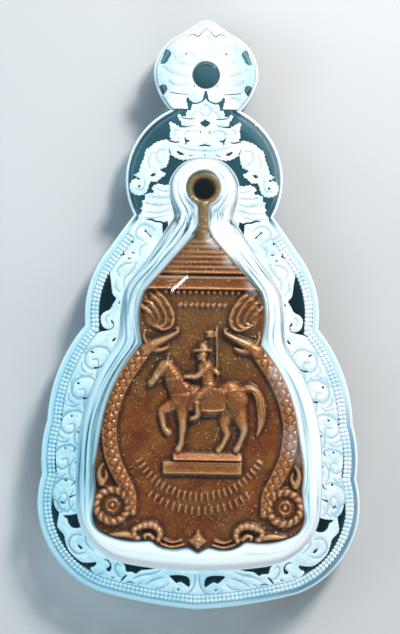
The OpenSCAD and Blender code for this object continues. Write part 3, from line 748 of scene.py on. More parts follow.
# One leaf of the side band. x runs from the dome outward, y down along the band.
LEAF = [
    [(0.1, 0.2, 0.06), (1, -0.25, 0.14), (2.1, 0.1, 0.15), (2.75, 1.1, 0.15), (2.5, 2.2, 0.14),
     (1.6, 2.6, 0.13), (1, 2, 0.12), (1.3, 1.35, 0.1), (1.9, 1.6, 0.05)],
    [(0.25, 1.1, 0.05), (0.8, 2.1, 0.12), (0.7, 3.1, 0.12), (0.2, 3.6, 0.05)],
    [(2.7, 0.3, 0.05), (3, 0.9, 0.1), (2.9, 1.4, 0.05)],
    [(2.8, 2.3, 0.05), (2.6, 3, 0.11), (1.9, 3.3, 0.05)],
    [(1.2, 3.1, 0.05), (1.7, 3.6, 0.11), (2.6, 3.7, 0.05)],
]
# Where each leaf starts on the dome's edge, right half: x, y and the band's lean in degrees
LEAF_STEMS = [(10.2, -4.6, 22), (11.7, -8, 20), (13, -11.8, 14), (13.9, -15.6, 6), (14.2, -19.3, -2)]


def leaf_veins():
    """The leaf's grooves, set at each stem."""
    out = []
    for x, y, lean in LEAF_STEMS:
        c, s = math.cos(math.radians(lean)), math.sin(math.radians(lean))
        out += [[(x + u * c + v * s, y + u * s - v * c, w) for u, v, w in rows] for rows in LEAF]
    return out


def ornament_plan():
    """The closed rings that draw the ornament, by what they do."""
    dome_overlap = 0.05
    case = outline(CASE, steps=8)
    gaps = [lumpy(rope(gap), pitch=0.4, size=0.03) for gap in GAPS]
    gaps += [inset(rope(gap), -WINDOW_MARGIN) for gap in GAPS[:LOBE_WINDOWS]]
    gaps += [ribbon(line, LINE_GAIN) for line in LINES]
    gaps += [circle(*dot, sides=10) for dot in DOTS]
    return {
        "lobe": [inset(case, RIM / 2)],
        "field": [inset(case, RIM)],
        "band": [inset(case, RIM + PEARL_BAND)],
        "dome": [inset(dome_foot(), -dome_overlap)],
        "hole": [circle(*BAIL, BAIL_R + HOLE_EASE, sides=48)],
        "shapes": both_sides([lumpy(rope(shape)) for shape in (LOTUS, ELEPHANT, FAN)]),
        "gaps": both_sides(gaps),
        "veins": both_sides([ribbon(vein, VEIN_GAIN) for vein in VEINS + leaf_veins()]),
    }


def past_start(points):
    """Whether each point lies beyond the cut where the pearl border starts."""
    across = (np.abs(points[:, 0]) - PEARL_START[0]) * PEARL_WAY[0]
    return across + (points[:, 1] - PEARL_START[1]) * PEARL_WAY[1] > 0


def ornament_levels(plan, points):
    """Level of each point of the plan: CLEAR, GROOVE or FULL."""
    y = points[:, 1]
    lobe = within(plan["lobe"], points) & (y > NECK_Y)
    field = within(plan["field"], points) & (y < SHOULDER_Y) & ~within(plan["dome"], points)
    frosted = lobe | field | within(plan["shapes"], points)
    frosted &= ~within(plan["gaps"], points) & ~within(plan["hole"], points)
    pearls = field & ~within(plan["band"], points) & past_start(points)
    grooved = pearls | within(plan["veins"], points)
    return np.where(frosted, np.where(grooved, GROOVE, FULL), CLEAR)


def level_cuts():
    """Lines on which the frosting changes: at the neck, at the shoulders and where the pearls start."""
    reach = 20
    across = np.array([PEARL_WAY[1], -PEARL_WAY[0]]) * 2
    cuts = [((-reach, y), (reach, y)) for y in (NECK_Y, SHOULDER_Y)]
    for flip in ([1, 1], [-1, 1]):
        cuts.append((np.subtract(PEARL_START, across) * flip, np.add(PEARL_START, across) * flip))
    return cuts


def inner_points(plan, rings):
    """Points of a staggered grid inside the full-height frosting, clear of every outline."""
    half_height, half_width = 34, 19
    row_pitch = FROST_GRID * 0.87
    clearance = FROST_GRID * 0.55
    rows = np.arange(-half_height, half_height, row_pitch)
    columns = np.arange(-half_width, half_width, FROST_GRID)
    stagger = np.where(np.arange(len(rows)) % 2, FROST_GRID / 2, 0)
    x = columns + stagger[:, None]
    grid = np.stack([x.ravel(), np.repeat(rows, len(columns))], axis=1)
    grid = grid[ornament_levels(plan, grid) == FULL]
    lines = np.vstack([even_steps(closed(ring), FROST_GRID / 3) for ring in rings])
    tree = kdtree.KDTree(len(lines))
    for i, spot in enumerate(lines):
        tree.insert((*spot, 0), i)
    tree.balance()
    return [p for p in grid if tree.find((*p, 0))[2] > clearance]


def frosted_ornament(material):
    """The plan's outlines and cuts in one triangulation, raised to their levels."""
    same_point = 2e-4
    plan = ornament_plan()
    rings = [ring for group in plan.values() for ring in group]
    points = [Vector(p) for ring in rings for p in ring]
    edges = ring_edges(rings)
    for cut in level_cuts():
        edges.append((len(points), len(points) + 1))
        points += [Vector(p) for p in cut]
    points += [Vector(p) for p in inner_points(plan, rings)]
    verts, _, tris, _, _, _ = geometry.delaunay_2d_cdt(points, edges, [], 0, same_point)
    flat = np.array(verts)
    level = ornament_levels(plan, flat[np.array(tris)].mean(axis=1))
    return stepped_mesh("frosted_ornament", flat, tris, level.tolist(), material)


def frost_height(x, y, level, on_edge):
    """Height of the frosting in mm: sunk where it is clear, flat in its grooves, else pillowed and lumpy."""
    if level == CLEAR:
        return FLANGE_TOP - FROST_SINK
    if level == GROOVE or on_edge:
        return FLANGE_TOP + (GROOVE_H if level == GROOVE else FROST_EDGE)
    broad, fine, fine_share = 1.1, 2.6, 0.6
    lump = noise.noise((x * broad, y * broad, 3)) + fine_share * noise.noise((x * fine, y * fine, 9))
    return FLANGE_TOP + FROST + FROST_LUMP * lump


def stepped_mesh(name, flat, tris, levels, material):
    """Closed solid over a triangulated plan, with a step wherever the level changes."""
    numbers = {}
    points = []
    faces = []
    shade_tones = []
    meeting = [set() for _ in flat]
    beside = {}
    for tri, level in zip(tris, levels):
        for edge in around(tri):
            meeting[edge[0]].add(level)
            beside[edge] = level

    def corner(i, level):
        """Number of the point over or under a point of the plan."""
        if (i, level) not in numbers:
            numbers[i, level] = len(points)
            points.append((*flat[i], frost_height(*flat[i], level, len(meeting[i]) > 1)))
        return numbers[i, level]

    # Faces carry a painted shade tone: darker in the grooves and on the walls of the steps
    for tri, level in zip(tris, levels):
        if level != CLEAR:
            faces.append([corner(i, level) for i in tri])
            faces.append([corner(i, CLEAR) for i in tri[::-1]])
            shade_tones += [FROST_SHADE_TONES[level]] * 2
    for (a, b), level in beside.items():
        for low in range(beside.get((b, a), CLEAR), level):
            faces.append([corner(a, low), corner(b, low), corner(b, low + 1), corner(a, low + 1)])
            shade_tones.append(FROST_SHADE_TONES[GROOVE])
    piece = add_mesh(name, points, faces, material, smooth_angle=45)
    add_values(piece, "shade_tone", shade_tones, "FACE")
    return piece


# Pearl border: two rows of small domes

PEARL_R = 0.24
PEARL_PITCH = 0.49
PEARL_SIDES = 8
PEARL_TIERS = 3
# Distance of the outer row from the case's edge, and of the inner row from the outer
PEARL_DEPTH = 0.96
PEARL_GAP = 0.45
PEARL_BASE = 0.06
PEARL_HEIGHT = 0.16


def pearl_places():
    """Middles of the pearls of both rows, on both sides."""
    edge = outline(CASE)
    path = inset(edge, PEARL_DEPTH)[: len(edge) // 2 + 1]
    path = path[past_start(path + np.multiply(PEARL_WAY, -PEARL_R))][::-1]
    total = lengths(path)[-1]
    outer = even_steps(path, total / (round(total / PEARL_PITCH) + 0.5))
    inner = outer + PEARL_GAP * rightward(unit(np.gradient(outer, axis=0)))
    return np.vstack([np.vstack([row, row[row[:, 0] > PEARL_R / 2] * [-1, 1]]) for row in (outer, inner)])


def pearl_border(material):
    build = Builder()
    base = FLANGE_TOP + PEARL_BASE
    for x, y in pearl_places():
        stack = []
        for a in quarter(PEARL_TIERS)[:-1]:
            plan = circle(x, y, PEARL_R * math.cos(a), PEARL_SIDES)
            stack.append(build.ring(plan, base + PEARL_HEIGHT * math.sin(a)))
        top = build.ring([(x, y)], base + PEARL_HEIGHT)[0]
        build.rings(stack)
        build.faces += [(*edge, top) for edge in around(stack[-1])]
        build.faces.append(tuple(stack[0][::-1]))
    piece = add_mesh("pearl_border", build.points, build.faces, material, smooth_angle=60)
    add_values(piece, "shade_tone", np.ones(len(build.points)))
    return piece


# Coin: its face is a field of heights over a fine grid, in mm above the plate

GRID = 0.09
EDGE_ROUND = 0.25
# Wear of the face: over how many cells of the grid each part of it is blurred, and its size
WEAR = [(1.2, 0.016), (9, 0.09)]

# Horse and rider, as limbs of x, y and half width, and each limb's height. They are listed from the back
# forward. A limb of one row is a round dot.
FAR_LIMBS = [
    ([(-2.7, -10.2, 0.95), (-3.7, -10.75, 0.72), (-4.4, -11.2, 0.56), (-4.35, -12.1, 0.45),
      (-4.2, -12.9, 0.37), (-3.95, -13.35, 0.42), (-3.6, -13.65, 0.44)], 0.66),
    ([(3.2, -10.8, 1.1), (2.9, -12, 0.78), (2.85, -12.9, 0.56), (3.15, -13.8, 0.44), (2.75, -14.8, 0.34),
      (2.45, -15.35, 0.4), (2.2, -15.65, 0.44)], 0.62),
    ([(0.9, -5.9, 0.46), (1.95, -6.7, 0.34)], 0.74),
]
HORSE = [
    ([(-1.7, -9.5, 1.6), (0.8, -9.9, 1.8), (3.4, -9.55, 1.85)], 0.92),
    ([(3.5, -9.2, 1.6), (4.1, -9.7, 1.5)], 1.0),
    ([(-2, -9.1, 1.55), (-2.7, -8.1, 1.3), (-3.3, -7.1, 1.1), (-3.9, -6.1, 0.9)], 0.92),
    ([(-2.3, -9.9, 1.3)], 0.98),
    ([(-4.2, -6.0, 0.8), (-4.6, -6.5, 0.74), (-5.1, -7.1, 0.56), (-5.55, -7.75, 0.46),
      (-5.75, -7.95, 0.44)], 1.0),
    ([(-4.35, -6.45, 0.42)], 1.08),
    ([(-3.95, -5.6, 0.24), (-3.85, -5.1, 0.18), (-3.8, -4.75, 0.06)], 0.86),
    ([(-2.1, -10.5, 0.95), (-2.05, -11.6, 0.72), (-2, -12.6, 0.53), (-2, -13.1, 0.5), (-2.1, -14.3, 0.35),
      (-2.15, -14.9, 0.4), (-2.35, -15.35, 0.42), (-2.45, -15.6, 0.46)], 0.88),
    ([(4, -10.2, 1.35), (4.5, -11.4, 1), (4.8, -12.3, 0.74), (5.1, -13.3, 0.52), (4.75, -14.5, 0.36),
      (4.5, -15.1, 0.42), (4.25, -15.55, 0.46)], 0.88),
]
RIDER = [
    ([(1.05, -8.3, 0.95), (0.8, -7.3, 0.85), (0.55, -6.2, 1)], 1.1),
    ([(1, -8.4, 0.8), (0.3, -9.05, 0.72), (-0.4, -9.6, 0.6), (-0.35, -10.6, 0.5), (-0.3, -11.6, 0.4),
      (-0.95, -12, 0.3)], 1.22),
    ([(0.75, -5.95, 0.55), (0.1, -6.65, 0.48), (-0.45, -7.1, 0.42), (-1.1, -7.15, 0.35),
      (-1.75, -7.15, 0.3)], 1.25),
    ([(0.35, -5.35, 0.4), (0.25, -5, 0.4)], 1.0),
    ([(0.22, -4.55, 0.62), (0.08, -4.85, 0.46)], 1.08),
    ([(-0.42, -4.68, 0.13)], 1.0),
    ([(-0.2, -5.1, 0.2)], 1.02),
    ([(0.3, -3.85, 0.6), (0.22, -3.65, 0.52)], 1.14),
    ([(-0.85, -4.14, 0.15), (0.2, -4.05, 0.22), (1.15, -4.1, 0.16)], 1.22),
]
TAIL = [(4.9, -8.6, 0.5), (5.7, -8.35, 0.46), (6.5, -8.9, 0.52), (7, -10.2, 0.6), (7.1, -11.5, 0.56),
        (7, -12.6, 0.42), (6.65, -13.8, 0.12)]
SADDLE_CLOTH = [(0.05, -8.35), (2.55, -8.35), (2.95, -9.4), (2.95, -11.1), (1.6, -11.3), (0.05, -11.2)]
MANE = [(-3.75, -5.35), (-3.1, -6), (-2.3, -7), (-1.3, -7.95)]
HORSE_EYE = (-4.62, -6.22, 0.09)
HORSE_NOSTRIL = (-5.72, -7.68, 0.07)
PENNON = [(1.75, -1.85), (1, -1.65), (0.1, -2), (0.65, -2.25), (0.25, -2.6), (1.1, -2.65), (1.75, -2.6)]

# Raised straps and folds, and cut lines, both of x, y and half width
STRAPS = [
    [(-1.8, -7.15, 0.08), (-3.4, -7.5, 0.08), (-5.25, -7.55, 0.08)],
    [(-4.05, -5.75, 0.08), (-4.7, -6.8, 0.08), (-5.25, -7.6, 0.08)],
    [(-5.45, -7.05, 0.08), (-4.95, -7.55, 0.08)],
    [(-4.75, -5.95, 0.07), (-4.15, -6.2, 0.07), (-3.85, -6.75, 0.07), (-4.4, -7.25, 0.07)],
    [(-3.55, -9.35, 0.1), (-1.9, -9.25, 0.1), (0, -9, 0.1)],
    [(2.9, -8.9, 0.1), (4, -8.55, 0.1), (5, -8.6, 0.1)],
    [(0.4, -7.9, 0.09), (1.6, -8.05, 0.09)],
    [(-0.8, -10.05, 0.08), (0.1, -10.15, 0.08)],
    [(0.35, -9.4, 0.06), (0.1, -11.2, 0.06), (-0.2, -12.15, 0.07), (-0.75, -12.3, 0.07)],
    [(1.35, -5.75, 0.12), (0.9, -5.5, 0.14)],
]
CUTS = [
    [(-5.95, -7.95, 0.06), (-5.5, -7.75, 0.05)],
    [(-1.3, -8.3, 0.07), (-1.2, -9.6, 0.09), (-1.5, -10.8, 0.07)],
    [(3.1, -8.3, 0.07), (2.95, -9.9, 0.1), (3.3, -11, 0.07)],
    [(4.4, -11.2, 0.07), (3.9, -12, 0.07)],
    [(0.2, -5.4, 0.05), (0.35, -6.4, 0.06), (0.55, -7.6, 0.05)],
    [(-2.45, -15.3, 0.05), (-1.95, -15.2, 0.05)],
    [(4, -15.2, 0.05), (4.65, -15, 0.05)],
]

NAGA_BODY = [
    (6.4, -4.1, 0.78), (7.6, -5.7, 0.82), (8.9, -7.7, 0.86), (9.9, -10, 0.9), (10.5, -13, 0.92),
    (10.1, -16.4, 0.92), (9, -18.9, 0.86), (8, -20.8, 0.76), (7.6, -22.9, 0.5),
]
NAGA_FORMS = [
    ([(6.4, -4.1, 0.8), (5.7, -3.6, 0.72), (4.9, -3.15, 0.55), (4.1, -2.75, 0.4), (3.3, -2.35, 0.3),
      (2.75, -2, 0.2)], 0.92),
    ([(6.2, -3.95, 0.6), (5.3, -4.1, 0.4), (4.5, -4.05, 0.3), (3.9, -3.8, 0.18)], 0.65),
    ([(2.85, -2.1, 0.24), (2.7, -1.75, 0.16), (3, -1.55, 0.1)], 0.8),
    ([(5.7, -3.45, 0.26)], 1.05),
    ([(6.3, -3.4, 0.3), (6.7, -2.6, 0.2), (6.6, -2, 0.08)], 0.6),
    ([(4.6, -3.55, 0.1)], 0.7),
    ([(4.2, -3.35, 0.09)], 0.65),
    ([(3.8, -3.15, 0.08)], 0.6),
]
CREST_BASE = [(6.9, 0.9), (5.9, 2.4), (5.2, 2.9), (4.2, 2), (3.4, 0.9), (3.05, -0.3), (3.4, -1.4), (4.5, -2),
              (5.8, -1.7), (6.6, -1.3), (6.95, -0.3)]
CREST_OUTER = [(5.6, 3, 0.08), (4.6, 2.1, 0.16), (3.75, 0.95, 0.21), (3.3, -0.2, 0.23), (3.45, -1.25, 0.22),
               (4.3, -1.75, 0.2), (5.3, -1.55, 0.08)]
CREST_INNER = [(7.2, 1.4, 0.06), (6.75, 0.95, 0.12), (6.3, 0.55, 0.16), (5.9, 0.1, 0.18), (5.65, -0.35, 0.16),
               (5.8, -0.75, 0.14), (6.3, -0.95, 0.06)]
CREST_STRANDS = 4
# Tongues that leave each strand of the crest: length, and turn away from the strand in degrees
TONGUE_LENGTH = 0.95
TONGUE_LEAN = 34
FLAME = [
    ([(11.2, -19.6, 0.5), (11.55, -18.8, 0.38), (11.5, -18, 0.26), (11.1, -17.4, 0.1)], 0.72),
    ([(10.9, -19.4, 0.3), (10.7, -18.7, 0.22), (10.9, -18.1, 0.08)], 0.6),
]
BORDER = [
    ([(7, -26, 0.4), (7.45, -25.1, 0.42), (6.4, -24.5, 0.45), (5.2, -24.45, 0.5), (4.4, -25.2, 0.45),
      (4.6, -26.1, 0.35)], 0.9),
    ([(6.9, -25.9, 0.4), (8.2, -25.55, 0.45), (9.3, -25.55, 0.36), (10.2, -25.6, 0.12)], 0.7),
    ([(5.2, -25.9, 0.32), (5.6, -25.5, 0.3), (6.2, -25.6, 0.26), (6.1, -25.95, 0.18)], 0.68),
    ([(4.3, -26.5, 0.16), (3.1, -26.9, 0.18), (1.7, -26.6, 0.16)], 0.62),
    ([(4, -26, 0.12), (3, -26.35, 0.13), (1.9, -26.1, 0.12)], 0.5),
]
ROSETTE = (10.0, -22.2)
# Rings of the rosette inside its leaves: radius, half width and height
ROSETTE_RINGS = [(0.66, 0.16, 0.5), (0, 0.36, 0.55)]
# Ridges of one step of the finial: place in the step, half width, height, and fall from step to step
FINIAL = [(0, 0.24, 0.85, 0.05), (0.5, 0.12, 0.55, 0.03)]
# Beads along both edges of the band: y, half width and height
BEADS = [(4.4, 0.18, 0.78), (3.05, 0.13, 0.7)]
# Rows of pearls under the band: number of pearls, half the row's length, and y
PEARL_ROWS = [(13, 4.2, 2.6), (9, 2.6, 1.1)]
# Curved rows of bars: radius, half the angle in degrees, length of a bar, number of bars
BARS = [(8, 61, 0.85, 26), (9.6, 36, 0.8, 17)]
BARS_CENTRE = (0, -13.1)
# Sunk field of the plain back, as an outline table
BACK_FIELD = [
    (0, -25.5, 0.1), (9.2, -24.7, 0.6), (11.2, -22.4, 0), (11, -17, 0.1), (10.4, -13, 0.8), (5.9, -3.3, 0.4),
    (5.8, 2.3, 0), (3.6, 5.6, 0), (0, 5.6, 0),
]


def settled(ring, points):
    """A loop of points moved onto the closed ring that it follows, in order and without folds."""
    passes = 6
    loop = closed(ring)
    total = lengths(loop)[-1]
    _, at = nearest(ring, points)
    steps = np.roll(at, -1) - at
    steps -= total * np.round(steps / total)
    for _ in range(passes):
        steps = (np.roll(steps, 1) + 2 * steps + np.roll(steps, -1)) / 4
    return along(loop, (at[0] + np.concatenate([[0], np.cumsum(steps)[:-1]])) % total)


def beside(rows, x, y):
    """Where points lie beside a line of x, y and half width. A single row is a round dot.

    Gives the distance as a share of the half width, the same signed by side, and the length along the line.
    """
    shortest = 1e-6
    if len(rows) == 1:
        rows = [rows[0], rows[0]]
    share = np.full(x.shape, np.inf)
    signed = np.zeros(x.shape)
    way = np.zeros(x.shape)
    length = 0
    for (ax, ay, ar), (bx, by, br) in zip(rows, rows[1:]):
        wx, wy = bx - ax, by - ay
        run = max(math.hypot(wx, wy), shortest)
        t = np.clip(((x - ax) * wx + (y - ay) * wy) / run**2, 0, 1)
        dx, dy = x - ax - t * wx, y - ay - t * wy
        own = np.hypot(dx, dy) / (ar + t * (br - ar))
        near = own < share
        share = np.where(near, own, share)
        signed = np.where(near, np.sign(wx * dy - wy * dx) * own, signed)
        way = np.where(near, length + t * run, way)
        length += run
    return share, signed, way


def swell(share, height):
    """Round profile that stands steeply at its edge and goes below the plate outside it."""
    return np.where(share < 1, height * np.sqrt(np.maximum(1 - share**2, 0)), (1 - share) * height)


def bell(offset, width):
    """1 at no offset, and almost nothing beyond two widths."""
    return np.exp(-((offset / width) ** 2))


def melt(a, b, reach):
    """The higher of two forms, with a soft crease of that reach between them."""
    near = np.maximum(reach - np.abs(a - b), 0) / reach
    return np.maximum(a, b) + near**2 * reach / 4


def blur(field, cells):
    """The field, smoothed over that many cells of the grid."""
    fy = np.fft.fftfreq(field.shape[0])[:, None]
    fx = np.fft.rfftfreq(field.shape[1])[None]
    soft = np.exp(-2 * (math.pi * cells) ** 2 * (fx**2 + fy**2))
    return np.fft.irfft2(np.fft.rfft2(field) * soft, field.shape)


class Relief:
    """Heights of the coin's face. Each method raises or cuts one kind of form."""

    def __init__(self):
        left, right, bottom, top = -12.69, 12.7, -27.81, 17.0
        self.x = np.arange(left, right, GRID)
        self.y = np.arange(bottom, top, GRID)
        self.grid_x, self.grid_y = np.meshgrid(self.x, self.y)
        self.height = np.zeros(self.grid_x.shape)

    def window(self, rows, margin):
        """The part of the grid round the rows."""
        spans = []
        for axis, places in ((self.y, [r[1] for r in rows]), (self.x, [r[0] for r in rows])):
            first = int((min(places) - margin - axis[0]) / GRID)
            last = int((max(places) + margin - axis[0]) / GRID) + 2
            spans.append(slice(max(first, 0), max(last, 0)))
        return tuple(spans)

    def over(self, rows, margin):
        """Window, and the place of each of its points beside the rows."""
        area = self.window(rows, margin)
        return area, beside(rows, self.grid_x[area], self.grid_y[area])

    def raise_to(self, height, area=np.s_[:]):
        self.height[area] = np.maximum(self.height[area], height)

    def ridge(self, rows, height):
        area, (share, _, _) = self.over(rows, max(r[2] for r in rows))
        self.raise_to(swell(share, height), area)

    def across(self, y, half_width, height, share=1):
        """Ridge right across the coin, at a share of its height."""
        self.raise_to(swell(np.abs(self.grid_y - y) / half_width, height) * share)

    def figure(self, limbs, crease=0.1):
        """Limbs that melt into each other, with a cut groove round them where they stand over something."""
        groove_depth = 0.12
        groove_width = 0.12
        groove_level = 0.02
        form = np.full(self.height.shape, -1.0)
        for rows, height in limbs:
            rows = smooth(rows, 3)
            area, (share, _, _) = self.over(rows, max(r[2] for r in rows) * 1.6)
            form[area] = melt(form[area], swell(share, height), crease)
        cut = groove_depth * bell(form - groove_level, groove_width) * (self.height > 0.1)
        self.height = np.maximum(self.height - cut, form)

    def add(self, rows, height):
        """Thin strap on what is there, or with a negative height a cut line."""
        rows = smooth(rows, 3)
        area, (share, _, _) = self.over(rows, max(r[2] for r in rows) * 2)
        self.height[area] += height * bell(share, 1) * step(2, 1.2, share)

    def plateau(self, ring, height, ease=0.15):
        """Flat-topped form inside a closed ring. Gives its window and the distance inward in it."""
        ring = np.array(ring, float)
        area = self.window(ring, ease)
        x, y = self.grid_x[area], self.grid_y[area]
        inside = -edge_distance(ring, np.stack([x.ravel(), y.ravel()], axis=1)).reshape(x.shape)
        self.raise_to(height * step(0, ease, inside), area)
        return area, inside


def sculpt_crown(relief):
    """Loop lip, stem, stepped finial, and band."""
    steps = 7
    first_y = 4.95
    pitch = 0.58
    lip_r = 1.62
    lip_height = 0.26
    band_y = 3.72
    band_height = 0.55
    x, y = relief.grid_x, relief.grid_y
    off_lip = np.abs(np.hypot(x - LOOP[0], y - LOOP[1]) - lip_r)
    relief.raise_to(lip_height * step(0.46, 0.3, off_lip))
    relief.ridge([(0, 8.8, 0.9), (0, 10, 0.78), (0, 12.7, 0.76)], 0.42)
    reach = np.maximum(6.9 - 0.87 * (y - 2.7), 0.7)
    bulge = 1 - 0.5 * np.minimum(np.abs(x) / reach, 1) ** 2
    for i in range(steps):
        for offset, half_width, height, fall in FINIAL:
            relief.across(first_y + pitch * (i + offset), half_width, height - fall * i, bulge)
    relief.raise_to(band_height * step(0.75, 0.68, np.abs(y - band_y)))
    for row in BEADS:
        relief.across(*row)


def sculpt_pearls(relief):
    """Pearls with a pierced middle, and a hollow below each."""
    for count, half_length, at in PEARL_ROWS:
        for spot in np.linspace(-half_length, half_length, count):
            relief.ridge([(spot, at, 0.24)], 0.55)
            relief.add([(spot, at - 0.05, 0.09)], -0.3)
            relief.add([(spot, at - 0.38, 0.16)], -0.12)


def scaled_body(relief, rows):
    """Serpent's body: a lattice of scales, and a thin raised edge."""
    pitch = 1.05
    slant = 0.55
    scale_depth = 0.3
    edge_height = 0.28
    area, (share, signed, way) = relief.over(rows, 1)
    lattice = np.zeros(share.shape)
    for lean in (slant, -slant):
        phase = (way / pitch + signed * lean) % 1
        lattice = np.maximum(lattice, bell(np.minimum(phase, 1 - phase) * pitch, 0.11))
    form = swell(share, 0.75) * (1 - scale_depth * lattice * step(0.92, 0.75, share))
    edge = edge_height * bell(share - 0.9, 0.09)
    relief.raise_to(np.where(share < 1, form + edge, -1), area)


def tongue(strand, k):
    """Leaf-shaped ridge that leaves the strand at its row k and bends back towards the strand's tip."""
    ahead = strand[k - 1][:2] - strand[k + 1][:2]
    heading = math.atan2(ahead[1], ahead[0])
    x, y, half_width = strand[k]
    rows = [(x, y, 0.8 * half_width)]
    for turn, width in ((TONGUE_LEAN, 0.9), (TONGUE_LEAN / 3, 0.25)):
        way = heading - math.radians(turn)
        x += TONGUE_LENGTH / 2 * math.cos(way)
        y += TONGUE_LENGTH / 2 * math.sin(way)
        rows.append((x, y, width * half_width))
    return rows


def sculpt_naga(relief):
    """Serpents: scaled body, head with an open mouth, and a crest of flaming strands."""
    for side in (1, -1):
        scaled_body(relief, flipped(smooth(NAGA_BODY, 5), side))
        relief.figure([(flipped(rows, side), height) for rows, height in NAGA_FORMS], 0.06)
        relief.plateau(flipped(CREST_BASE, side)[::side], height=0.28, ease=0.5)
        for share in np.linspace(0, 1, CREST_STRANDS):
            strand = np.multiply(CREST_OUTER, 1 - share) + np.multiply(CREST_INNER, share)
            relief.ridge(smooth(flipped(strand, side), 4), 0.5 + 0.12 * math.sin(5 * share))
            for k in range(1, len(strand) - 2):
                relief.ridge(smooth(flipped(tongue(strand, k), side), 4), 0.5)


def sculpt_rosette(relief):
    """Round flowers in the corners: a ring of slanted leaves round a dish with a ring and a boss."""
    leaves = 14
    radius = 2.34
    ring_r = 1.82
    leaf_slant = 1.6
    leaf_height = 0.78
    dish_height = 0.22
    for side in (1, -1):
        middle = (side * ROSETTE[0], ROSETTE[1])
        area = relief.window([middle], 2.5)
        x, y = relief.grid_x[area] - middle[0], relief.grid_y[area] - middle[1]
        away = np.hypot(x, y)
        turn = np.arctan2(y, x) * side
        leaf = np.abs(np.sin(turn * leaves / 2 + (away - 1.4) * leaf_slant))
        forms = [swell(np.abs(away - middle_r) / half, height) for middle_r, half, height in ROSETTE_RINGS]
        forms.append(swell(np.abs(away - ring_r) / 0.52, leaf_height) * (0.55 + 0.5 * leaf))
        forms.append(dish_height * step(1.3, 1.2, away))
        relief.raise_to(np.where(away < radius, np.max(forms, axis=0), -1), area)


def sculpt_border(relief):
    """Flames over the rosettes, scrolls, leaves and swags of the bottom edge, and the pendant."""
    notch_pitch = 0.62
    notch_depth = 0.25
    pendant = [(0, -24.85), (1.25, -26.2), (0, -27.35), (-1.25, -26.2)]
    for side in (1, -1):
        for rows, height in FLAME + BORDER:
            relief.ridge(smooth(flipped(rows, side), 4), height)
        scroll, _ = BORDER[0]
        area, (share, _, way) = relief.over(flipped(smooth(scroll, 5), side), 0.5)
        notches = bell(way % notch_pitch - notch_pitch / 2, 0.08)
        relief.height[area] -= notch_depth * notches * step(1, 0.8, share)
    relief.plateau(pendant, height=0.6, ease=0.3)
    relief.ridge([(0, -26.2, 0.55)], 0.95)
    relief.add([(0, -26.2, 0.16)], -0.35)
    for x, y in ((0, -25.2), (0.72, -26.15), (-0.72, -26.15)):
        relief.ridge([(x, y, 0.17)], 0.75)


def box(left, bottom, right, top):
    return [(left, bottom), (right, bottom), (right, top), (left, top)]


def sculpt_plinth(relief):
    """Two slabs: the lower with a cut frame and a lit edge, the upper sloping towards the viewer."""
    frame_depth = 0.12
    edge_y = -17.02
    edge_height = 0.86
    slope = 0.64
    y = relief.grid_y
    area, inside = relief.plateau(box(-4.3, -18.5, 5, -16.9), height=0.75, ease=0.14)
    relief.height[area] -= frame_depth * bell(inside - 0.34, 0.06)
    relief.raise_to(swell(np.abs(y[area] - edge_y) / 0.11, edge_height) * (inside > 0.05), area)
    area, inside = relief.plateau(box(-3.1, -16.9, 5, -15.85), height=0.95, ease=0.08)
    relief.height[area] -= slope * np.clip(y[area] + 16.88, 0, 1.1) * (inside > 0.04)


def sculpt_bars(relief):
    """Two curved rows of plain bars below the plinth."""
    height = 0.35
    half_width = 0.105
    ease = 0.035
    end_ease = 0.06
    x, y = relief.grid_x - BARS_CENTRE[0], relief.grid_y - BARS_CENTRE[1]
    radius = np.hypot(x, y)
    turn = np.degrees(np.arctan2(x, -y))
    for middle, spread, length, count in BARS:
        pitch = 2 * spread / (count - 1)
        off = np.radians(np.abs((turn + spread + pitch / 2) % pitch - pitch / 2)) * radius
        bar = step(half_width + ease, half_width - ease, off)
        bar *= step(length / 2 + end_ease, length / 2 - end_ease, np.abs(radius - middle))
        relief.raise_to(height * bar * (np.abs(turn) < spread + pitch / 2))


def sculpt_pennon(relief):
    """Upright pole with a tip and a small waving pennon."""
    wave_height = 0.08
    relief.ridge([(1.95, -9.2, 0.13), (1.77, -1.9, 0.13)], 0.6)
    relief.ridge([(1.77, -1.95, 0.2), (1.75, -1.4, 0.04)], 0.6)
    area, inside = relief.plateau(PENNON, height=0.42, ease=0.12)
    relief.height[area] += wave_height * np.cos(relief.grid_x[area] * 7) * step(0.05, 0.15, inside)


def sculpt_tail(relief):
    """Tail of wavy strands."""
    strand_depth = 0.14
    area, (share, signed, way) = relief.over(smooth(TAIL, 5), 0.6)
    strands = strand_depth * np.cos(signed * 9 + np.sin(way * 2.2) * 1.2) * step(1, 0.7, share)
    relief.raise_to(swell(share, 0.62) + strands * (share < 1), area)


def sculpt_mane(relief):
    """Locks that fall from the crest of the neck, each a little longer or shorter than the last."""
    lock = [(0, 0, 0.12), (-0.32, -0.42, 0.13), (-0.3, -0.95, 0.08)]
    lock_height = 0.17
    for i, (x, y) in enumerate(smooth(MANE, 6)[::2]):
        size = 0.75 + 0.12 * math.sin(i * 2.4)
        relief.add([(x + u * size, y + v * size, width) for u, v, width in lock], lock_height)


